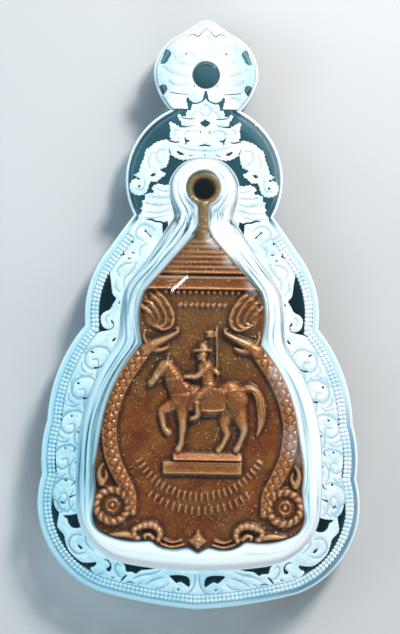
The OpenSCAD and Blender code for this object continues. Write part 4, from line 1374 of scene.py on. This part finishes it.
def sculpt_rider(relief):
    """Plain mounted rider: a horse at a walk, and a rider with a brimmed hat, reins and a pennon."""
    strap = 0.16
    sculpt_pennon(relief)
    relief.figure(FAR_LIMBS)
    sculpt_tail(relief)
    relief.figure(HORSE, 0.16)
    sculpt_mane(relief)
    area, inside = relief.plateau(SADDLE_CLOTH, height=1.02, ease=0.12)
    relief.height[area] += 0.1 * bell(inside - 0.17, 0.07)
    relief.height[area] -= 0.09 * bell(inside - 0.36, 0.06)
    relief.figure(RIDER, 0.08)
    for rows in STRAPS:
        relief.add(rows, strap)
    for rows in CUTS:
        relief.add(rows, -strap)
    relief.add([HORSE_EYE], 0.14)
    relief.add([HORSE_NOSTRIL], -strap)


def coin_relief():
    """All forms of the face, softened and worn."""
    softness = 0.75
    seed = 7
    relief = Relief()
    for sculpt in (sculpt_crown, sculpt_pearls, sculpt_naga, sculpt_rosette, sculpt_border, sculpt_plinth,
                   sculpt_bars, sculpt_rider):
        sculpt(relief)
    rng = np.random.default_rng(seed)
    wear = sum(blur(rng.normal(size=relief.height.shape), cells) * size for cells, size in WEAR)
    relief.height = blur(np.maximum(relief.height, 0), softness) + wear
    return relief


def coin_patch(relief):
    """The grid's points inside the coin: their numbers, their quads, their places and signed distances."""
    margin = 0.2 * GRID
    plan = np.stack([relief.grid_x.ravel(), relief.grid_y.ravel()], axis=1)
    hole = LOOP_HOLE_R - np.hypot(plan[:, 0] - LOOP[0], plan[:, 1] - LOOP[1])
    distance = np.maximum(edge_distance(coin_outline(), plan), hole)
    rows, columns = relief.height.shape
    corner = (np.arange(rows - 1)[:, None] * columns + np.arange(columns - 1)).ravel()
    middle = (distance[corner] + distance[corner + columns + 1]) / 2
    corner = corner[middle < -margin]
    quads = np.stack([corner, corner + 1, corner + columns + 1, corner + columns], axis=1)
    used, quads = np.unique(quads, return_inverse=True)
    return used, quads.reshape(-1, 4).tolist(), plan[used], distance[used]


def edge_loops(quads):
    """Loops of the border of a patch of quads, in the patch's own sense, the longest first."""
    edges = {edge for quad in quads for edge in around(quad)}
    follow = {a: b for a, b in edges if (b, a) not in edges}
    loops = []
    while follow:
        start, here = follow.popitem()
        loop = [start]
        while here != start:
            loop.append(here)
            here = follow.pop(here)
        loops.append(loop)
    return sorted(loops, key=len, reverse=True)


def split_at_rim(quad, on_rim):
    """The quad, or two triangles if only one of its corners lies inside the rim."""
    inner = [k for k, i in enumerate(quad) if not on_rim[i]]
    if len(inner) != 1:
        return [tuple(quad)]
    a, b, c, d = quad[inner[0]:] + quad[:inner[0]]
    return [(a, b, c), (a, c, d)]


def add_coin_back(build, lower):
    """Eased edge below the lower rings of edge and hole, and a plain back with a sunk field."""
    sunk = 0.15
    field = outline(BACK_FIELD, steps=6)
    flat = build.ring(inset(coin_outline(), EDGE_ROUND), COIN_Z)
    hole = build.ring(circle(*LOOP, LOOP_HOLE_R + EDGE_ROUND, sides=40), COIN_Z)
    build.fill(lower[0], [flat], up=False)
    build.fill(hole, [lower[1][::-1]], up=False)
    upper = build.ring(field, COIN_Z)
    floor = build.ring(inset(field, sunk), COIN_Z + sunk)
    build.fill(flat, [hole, upper], up=False)
    build.fill(upper, [floor], up=False)
    build.fill(floor, up=False)


def struck_coin(material):
    """The face's grid, walled round its edge and hole, on a plain back."""
    relief = coin_relief()
    used, quads, plan, distance = coin_patch(relief)
    loops = edge_loops(quads)
    on_rim = np.zeros(len(plan), bool)
    for loop, ring in zip(loops, (coin_outline(), circle(*LOOP, LOOP_HOLE_R, sides=64))):
        plan[loop] = settled(ring, plan[loop])
        on_rim[loop] = True
    distance[on_rim] = 0
    ease = step(0, 0.3, -distance)
    top = COIN_Z + PLATE + relief.height.ravel()[used] * ease - rim_drop(distance)
    build = Builder()
    build.points = [(x, y, z) for (x, y), z in zip(plan, top)]
    build.faces = [face for quad in quads for face in split_at_rim(quad, on_rim)]
    lower = [build.ring(plan[loop], COIN_Z + EDGE_ROUND) for loop in loops]
    for loop, ring in zip(loops, lower):
        build.rings([ring, loop])
    add_coin_back(build, lower)
    piece = add_mesh("struck_coin", build.points, build.faces, material, smooth_angle=60)
    add_coin_values(piece, relief, used, ease)
    return piece


def rim_drop(distance):
    """How far the rounded edge lies below the face, at a signed distance from the outline."""
    inward = np.clip(-distance, 0, EDGE_ROUND)
    return EDGE_ROUND - np.sqrt(EDGE_ROUND**2 - (EDGE_ROUND - inward) ** 2)


def add_coin_values(piece, relief, used, ease):
    """From 0 to 1, the height of each point of the face, and how it stands to its surroundings."""
    full_relief = 1.1
    contrast = 2.2
    shade_cells = 4
    height = relief.height.ravel()[used] * ease
    shade = (relief.height - blur(relief.height, shade_cells)).ravel()[used] * ease
    for name, values, plain in (("relief", height / full_relief, 0), ("cavity", 0.5 + contrast * shade, 0.5)):
        full = np.full(len(piece.data.vertices), float(plain))
        full[: len(used)] = np.clip(values, 0, 1)
        add_values(piece, name, full)


# Materials

# Full painted cold shade of the plastic's haze and frosting, bluer towards the lower left, as a factor on their
# colour
COLD_SHADE = (0.56, 0.86, 0.94, 1.0)
# Colours of one pass through each shell. The back one stands in for the photo's dark ground.
FRONT_TINT = (0.95, 0.985, 0.99, 1)
BACK_TINT = (0.08, 0.2, 0.235, 1)
# Power of the tint on the rim, where the light takes a longer way through the plastic
SIDE_TINT = 0.4
ACRYLIC_IOR = 1.49


def srgb(*levels):
    """Linear colour of 0 to 255 levels."""
    out = [v / 255 / 12.92 if v <= 10 else ((v / 255 + 0.055) / 1.055) ** 2.4 for v in levels]
    return (*out, 1.0)


class Shader:
    """A material's node tree, with short ways to add nodes and link them."""

    def __init__(self, name):
        self.material = bpy.data.materials.new(name)
        self.material.use_nodes = True
        self.tree = self.material.node_tree
        self.tree.nodes.clear()
        self.output = self.node("OutputMaterial")

    def node(self, kind, **inputs):
        """New node, its inputs and settings given by name."""
        made = self.tree.nodes.new("ShaderNode" + kind)
        for key, value in inputs.items():
            if hasattr(made, key) and key not in made.inputs:
                setattr(made, key, value)
            else:
                self.put(made.inputs[key.replace("_", " ")], value)
        return made

    def put(self, socket, value):
        if isinstance(value, bpy.types.NodeSocket):
            self.tree.links.new(value, socket)
        else:
            socket.default_value = value

    def join(self, made, *values):
        """The node's first output, with its first inputs set in order."""
        for socket, value in zip(made.inputs, values):
            self.put(socket, value)
        return made.outputs[0]

    def math(self, operation, a, b=0.0, clamp=False):
        return self.join(self.node("Math", operation=operation, use_clamp=clamp), a, b)

    def times(self, a, b, clamp=False):
        return self.math("MULTIPLY", a, b, clamp)

    def plus(self, a, b, clamp=False):
        return self.math("ADD", a, b, clamp)

    def minus(self, a, b):
        return self.math("SUBTRACT", a, b)

    def most(self, a, b, clamp=False):
        return self.math("MAXIMUM", a, b, clamp)

    def blend(self, share, first, second):
        """Mix of two shaders."""
        return self.join(self.node("MixShader"), share, first, second)

    def mix(self, factor, a, b, blend="MIX"):
        made = self.node("Mix", data_type="RGBA", blend_type=blend)
        for socket, value in ((0, factor), (6, a), (7, b)):
            self.put(made.inputs[socket], value)
        return made.outputs[2]

    def tinted(self, a, b):
        """Product of two colours."""
        return self.mix(1.0, a, b, "MULTIPLY")

    def coordinates(self):
        return self.node("TexCoord").outputs["Object"]

    def part(self, vector, axis):
        return self.node("SeparateXYZ", Vector=vector).outputs[axis]

    def place(self, axis, span):
        """Place along the axis, as a share of a span in mm. A negative span turns it round."""
        return self.times(self.part(self.coordinates(), axis), 1 / (span * MM))

    def attribute(self, name, output="Fac"):
        return self.node("Attribute", attribute_name=name).outputs[output]

    def noise(self, scale, detail=3.0, roughness=0.55, vector=None):
        """Noise with that many features per mm, or per unit of the vector."""
        if vector is None:
            vector = self.coordinates()
            scale /= MM
        made = self.node("TexNoise", Vector=vector, Scale=scale, Detail=detail, Roughness=roughness)
        return made.outputs["Fac"]

    def ramp(self, factor, *stops):
        """Colour or value ramp through (place, colour) stops."""
        made = self.node("ValToRGB")
        band = made.color_ramp.elements
        while len(band) < len(stops):
            band.new(0.5)
        for element, (place, colour) in zip(band, stops):
            element.position = place
            element.color = colour if isinstance(colour, tuple) else (colour, colour, colour, 1)
        return self.join(made, factor)

    def specks(self, density, share, radius):
        """1 in round specks: cells per mm, share of the cells with a speck, and its radius in cells."""
        cells = self.node("TexVoronoi", Vector=self.coordinates(), Scale=density / MM)
        lot = self.node("SeparateColor", Color=cells.outputs["Color"]).outputs[0]
        near = self.math("LESS_THAN", cells.outputs["Distance"], radius)
        return self.times(near, self.math("GREATER_THAN", lot, 1 - share))

    def cast(self):
        """Share of the painted cold shade, which grows towards the lower left of the case."""
        middle = 0.3
        return self.plus(self.plus(self.place("X", -36), self.place("Y", -60)), middle, True)

    def paint_cold_shade(self, colour, share=1.0):
        """The colour with that share of the painted cold shade."""
        return self.mix(self.times(self.cast(), share), colour, self.tinted(colour, COLD_SHADE))

    def bump(self, height, distance):
        """Bump of that height in mm."""
        return self.node("Bump", Height=height, Distance=distance * MM, Strength=1.0).outputs[0]

    def surface(self, colour, roughness, **inputs):
        return self.node("BsdfPrincipled", Base_Color=colour, Roughness=roughness, **inputs).outputs[0]

    def finish(self, shader):
        self.put(self.output.inputs["Surface"], shader)
        return self.material


def flow_streaks(s, flow):
    """Streaks along the flow, broad at the bottom and finer above."""
    fine = s.noise(2.7, 3.5, 0.6, flow)
    broad = s.noise(1.9, 2.0, 0.45, flow)
    height = s.plus(s.place("Y", 60), 0.5)
    fineness = s.ramp(height, (0.02, 0.7), (0.2, 0.3), (0.6, 0.8))
    return s.plus(broad, s.times(s.minus(fine, broad), fineness))


def clear_plastic(s, tint, rim, slope, streaks):
    """Smooth clear plastic, a little wavy along the streaks except on its flat faces."""
    slanted = s.node("Mapping", Vector=s.coordinates(), Scale=(900, 140, 400), Rotation=(0, 0, 0.6))
    scratches = s.noise(1.0, 4.0, 0.5, slanted.outputs[0])
    rough = s.plus(s.times(scratches, 0.12), s.plus(s.noise(0.12, 2), streaks))
    height = s.times(rough, s.ramp(slope, (0.97, 1.0), (0.999, 0.001)))
    shade = s.mix(rim, tint, tuple(c ** SIDE_TINT for c in tint))
    return s.surface(shade, 0.0, IOR=ACRYLIC_IOR, Transmission_Weight=1.0,
                     Coat_Weight=s.ramp(slope, (0.97, 0.0), (0.999, 0.4)), Coat_Roughness=0.03,
                     Normal=s.bump(height, 0.02))


def cloud_colour(s, haze_and_painted_light, density, lane, rim):
    """White haze with a painted cold shade, less of it where the haze is packed and on the rim, bluer where it
    is thin, on the flange and at the rim's outer edge.
    """
    white = s.ramp(density,
                   (0.36, srgb(124, 184, 208)), (0.5, srgb(222, 240, 247)), (0.58, srgb(253, 254, 255)))
    flange = s.ramp(s.times(lane, 1 / FLANGE_LANE), (0.4, 0.0), (0.8, 1.0))
    white = s.mix(flange, white, srgb(92, 158, 174))
    edge = s.ramp(haze_and_painted_light, (0.25, srgb(30, 116, 166)), (0.7, srgb(190, 228, 242)), (0.95, srgb(248, 253, 255)))
    # Packed haze and the rim get less painted cold shade, painted as more brightly lit
    packed = s.times(s.minus(haze_and_painted_light, 1.0), 2.2, True)
    unshaded_share = s.most(s.times(packed, 0.9), s.times(rim, 0.35))
    return s.paint_cold_shade(s.mix(s.times(rim, 0.85), white, edge), s.minus(1.0, unshaded_share))


def lets_through(s):
    """1 for light on its way to or from what the case holds: shadow rays, scattered and blurred ones."""
    path = s.node("LightPath").outputs
    blurred = s.times(path["Is Glossy Ray"], s.minus(1.0, path["Is Singular Ray"]))
    return s.most(path["Is Shadow Ray"], s.most(path["Is Diffuse Ray"], blurred))


def clear_acrylic(name, tint, cloud):
    """Clear plastic that lets the lamps reach what it holds, with painted reflections streaked white along the
    dome's wall.

    tint is its colour over one pass, and cloud a factor on the haze and its painted light.
    """
    s = Shader(name)
    flow = s.attribute("flow", "Vector")
    haze_and_painted_light = s.attribute("haze_and_painted_light")
    lane = s.part(flow, "Z")
    normal = s.node("NewGeometry").outputs["Normal"]
    slope = s.math("ABSOLUTE", s.part(normal, "Z"))
    rim = s.ramp(s.times(lane, 0.1), (0.5, 0.0), (0.7, 1.0))
    streaks = flow_streaks(s, flow)
    # Where painted light is packed densest on the wall, the white grows denser
    extra = s.times(s.most(s.minus(haze_and_painted_light, WALL_REFLECTION), 0.0), 0.35)
    density = s.plus(streaks, extra)
    flattened = s.join(s.node("VectorMath", operation="MULTIPLY"), normal, (0.4, 0.4, 1))
    even = s.join(s.node("VectorMath", operation="NORMALIZE"), flattened)
    clouded = s.surface(cloud_colour(s, haze_and_painted_light, density, lane, rim), 0.35, Normal=even)
    # Strongest white on the dense streaks and on the rim's painted white edge
    strength = s.most(s.ramp(density, (0.36, 0.2), (0.5, 1.0)), s.times(rim, 1.4))
    share = s.times(s.times(haze_and_painted_light, strength), cloud, True)
    body = s.blend(s.most(share, 0.004), clear_plastic(s, tint, rim, slope, streaks), clouded)
    passing = s.join(s.node("BsdfTransparent"), (*[math.sqrt(c) for c in tint[:3]], 1))
    return s.finish(s.blend(lets_through(s), body, passing))


def frosted_acrylic():
    """Milky frosting: white with a painted cold shade, pecked with fine dots, and painted shade, bluer, in its
    grooves.
    """
    s = Shader("frosted_acrylic")
    lobe = s.ramp(s.place("Y", 40), (0.58, 0.0), (0.62, 1.0))
    outward = s.math("ABSOLUTE", s.place("X", 10))
    flank = s.ramp(s.plus(outward, s.noise(0.5, 3)), (0.78, 0.0), (0.95, 1.0))
    patch = s.ramp(s.noise(0.35, 3), (0.36, srgb(212, 234, 243)), (0.58, srgb(251, 253, 254)))
    patch = s.mix(s.times(lobe, flank), patch, srgb(196, 224, 238))
    # Painted shade in the grooves and on the walls of the steps, paler in the lobe
    groove = s.mix(s.cast(), srgb(150, 196, 214), srgb(84, 146, 176))
    groove = s.mix(s.times(lobe, 0.7), groove, srgb(232, 242, 247))
    patch = s.mix(s.attribute("shade_tone"), groove, patch)
    peck = s.node("TexVoronoi", Vector=s.coordinates(), Scale=3.3 / MM).outputs["Distance"]
    grain = s.noise(14, 2)
    fine = s.tinted(s.ramp(peck, (0.25, 1.0), (0.7, 0.93)), s.ramp(grain, (0.3, 0.95), (0.7, 1.0)))
    normal = s.bump(s.minus(s.times(grain, 0.4), peck), 0.04)
    return s.finish(s.surface(s.paint_cold_shade(s.tinted(patch, fine)), 0.62, IOR=ACRYLIC_IOR, Normal=normal))


def tarnished_field(s):
    """Mottled brown, olive in patches and in the upper field."""
    field = s.ramp(s.noise(0.45, 5, 0.62),
                   (0.34, srgb(120, 54, 14)), (0.5, srgb(144, 72, 22)), (0.66, srgb(168, 98, 32)))
    olive = s.ramp(s.noise(0.22, 3), (0.45, 0.0), (0.65, 0.5))
    field = s.mix(olive, field, srgb(128, 92, 36))
    height = s.plus(s.place("Y", 60), 0.5)
    upper = s.ramp(height, (0.36, 0.0), (0.45, 0.45), (0.52, 0.45), (0.56, 0.1))
    return s.mix(upper, field, srgb(122, 96, 50))


def rubbed_relief_and_highlight(s, colour, cavity):
    """Copper on what stands out, and a painted highlight in pale cream on the sharpest crests."""
    rubbed = s.mix(s.ramp(s.noise(1.4, 3), (0.3, 0.0), (0.7, 1.0)), srgb(196, 110, 52), srgb(214, 144, 84))
    height = s.ramp(s.attribute("relief"), (0.12, 0.0), (0.75, 0.75))
    crest = s.ramp(cavity, (0.52, 0.0), (0.78, 1.0))
    colour = s.mix(s.most(s.times(height, 0.35), crest, True), colour, rubbed)
    # Painted highlight: pale cream on the sharpest crests
    return s.mix(s.ramp(cavity, (0.79, 0.0), (0.99, 0.55)), colour, srgb(243, 202, 154))


def antique_bronze():
    """Old copper-rich bronze: dark recesses, a relief rubbed bright with a painted highlight on its crests,
    olive tarnish and light specks.
    """
    s = Shader("antique_bronze")
    cavity = s.attribute("cavity")
    colour = rubbed_relief_and_highlight(s, tarnished_field(s), cavity)
    golden = s.ramp(s.place("Y", LOOP[1]), (0.5, 0.0), (0.7, 0.75))
    colour = s.mix(golden, colour, srgb(150, 130, 92))
    colour = s.tinted(colour, s.ramp(s.noise(6, 2), (0.32, 0.8), (0.62, 1.0)))
    dark = s.ramp(cavity, (0.2, 1.0), (0.47, 0.0))
    colour = s.mix(s.times(dark, 0.7), colour, srgb(46, 24, 12))
    where = s.ramp(s.noise(0.28, 2), (0.42, 0.1), (0.56, 0.95))
    colour = s.mix(s.times(s.specks(2.2, 0.4, 0.17), where), colour, srgb(240, 222, 190))
    where = s.ramp(s.noise(0.4, 3), (0.44, 0.0), (0.6, 0.8))
    colour = s.mix(s.times(s.specks(4.5, 0.38, 0.3), where), colour, srgb(212, 170, 112))
    rough = s.most(s.ramp(s.noise(2.5, 4), (0.3, 0.26), (0.7, 0.42)), s.times(dark, 0.8))
    grain = s.plus(s.times(s.noise(7, 3), 0.8), s.noise(3, 3))
    return s.finish(s.surface(colour, rough, Metallic=0.35, Specular_IOR_Level=0.2, Coat_Weight=0.8,
                              Coat_Roughness=0.16, Normal=s.bump(grain, 0.085)))


def pale_floor():
    s = Shader("pale_floor")
    colour = s.ramp(s.noise(0.02, 2), (0.3, srgb(196, 198, 201)), (0.7, srgb(205, 207, 209)))
    return s.finish(s.surface(colour, 0.8))


# Stage

MIDDLE = (0, -2, 4)
# Lamps: name, place and size in mm, power, colour, what they face, and their turn in degrees.
# The glint is the short streak of light over the coin's band.
LAMPS = [
    ("key", (80, 130, 140), (40, 40), 0.45, (1.0, 0.98, 0.95), MIDDLE, 0),
    ("fill", (-180, 20, 110), (160, 160), 0.26, (0.62, 0.85, 1.0), MIDDLE, 0),
    ("front", (40, -190, 120), (200, 100), 0.22, (0.92, 0.97, 1.0), MIDDLE, 0),
    ("back strip", (30, 190, 90), (110, 14), 0.11, (1.0, 0.97, 0.92), MIDDLE, 0),
    ("glint", (-5, 7.4, 309), (0.6, 5), 0.00013, (1.0, 0.98, 0.97), (-2.6, 3.6, 8), 101),
]


def add_object(name, data, place, rotation):
    """New object in the scene, at a place in mm."""
    made = bpy.data.objects.new(name, data)
    made.location = Vector(place) * MM
    made.rotation_euler = rotation
    bpy.context.scene.collection.objects.link(made)
    return made


def add_lamp(name, place, size, power, colour, aim, turn):
    """Rectangular lamp that faces the aim, turned by degrees about its own axis."""
    data = bpy.data.lights.new(name, "AREA")
    data.shape = "RECTANGLE"
    data.size, data.size_y = size[0] * MM, size[1] * MM
    data.energy = power
    data.color = colour
    facing = (Vector(aim) - Vector(place)).to_track_quat("-Z", "Y")
    rotation = (facing @ Quaternion((0, 0, 1), math.radians(turn))).to_euler()
    return add_object(name, data, place, rotation)


def stage():
    """Pale floor, lamps and a faint sky. The fill isn't mirrored in gloss, since it would whiten the case."""
    floor_half = 400
    floor_drop = 0.02
    corners = box(-floor_half, -floor_half, floor_half, floor_half)
    floor = add_mesh("floor", [(x, y, -floor_drop) for x, y in corners], [(0, 1, 2, 3)], pale_floor())
    lamps = {row[0]: add_lamp(*row) for row in LAMPS}
    lamps["fill"].visible_glossy = False
    world = bpy.data.worlds.new("studio")
    world.use_nodes = True
    sky = world.node_tree.nodes["Background"].inputs
    sky["Color"].default_value = srgb(200, 220, 236)
    sky["Strength"].default_value = 0.06
    bpy.context.scene.world = world
    bpy.context.scene.view_settings.view_transform = "Standard"


def camera():
    """Straight above, turned by the photo's lean. The frame's long side is the sensor width."""
    lean = 1.0
    frame_height = 73.1
    lens = 150
    sensor = 36
    aim = (-0.21, -0.23)
    data = bpy.data.cameras.new("camera")
    data.lens = lens
    data.sensor_width = sensor
    data.clip_start = 0.01
    height = FLANGE_TOP + frame_height * lens / sensor
    bpy.context.scene.camera = add_object("camera", data, (*aim, height), (0, 0, math.radians(lean)))


def build_amulet():
    front_plastic = clear_acrylic("clear_front", FRONT_TINT, 1.0)
    back_plastic = clear_acrylic("clear_back", BACK_TINT, 0.3)
    front = shell("clear_front", front_plastic, FRONT_FLANGE, FLANGE_TOP, DOME_TOP, CEILING)
    back = shell("clear_back", back_plastic, SEAM, BACK_FLANGE, 0, WALL)
    frosted = frosted_acrylic()
    ornament = frosted_ornament(frosted)
    pearls = pearl_border(frosted)
    coin = struck_coin(antique_bronze())
    for piece, node in ((front, "case_front"), (back, "case_back"), (coin, "coin")):
        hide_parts(node)
    for piece in (front, back, ornament, pearls, coin):
        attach(piece, "root")


camera()
stage()
build_amulet()
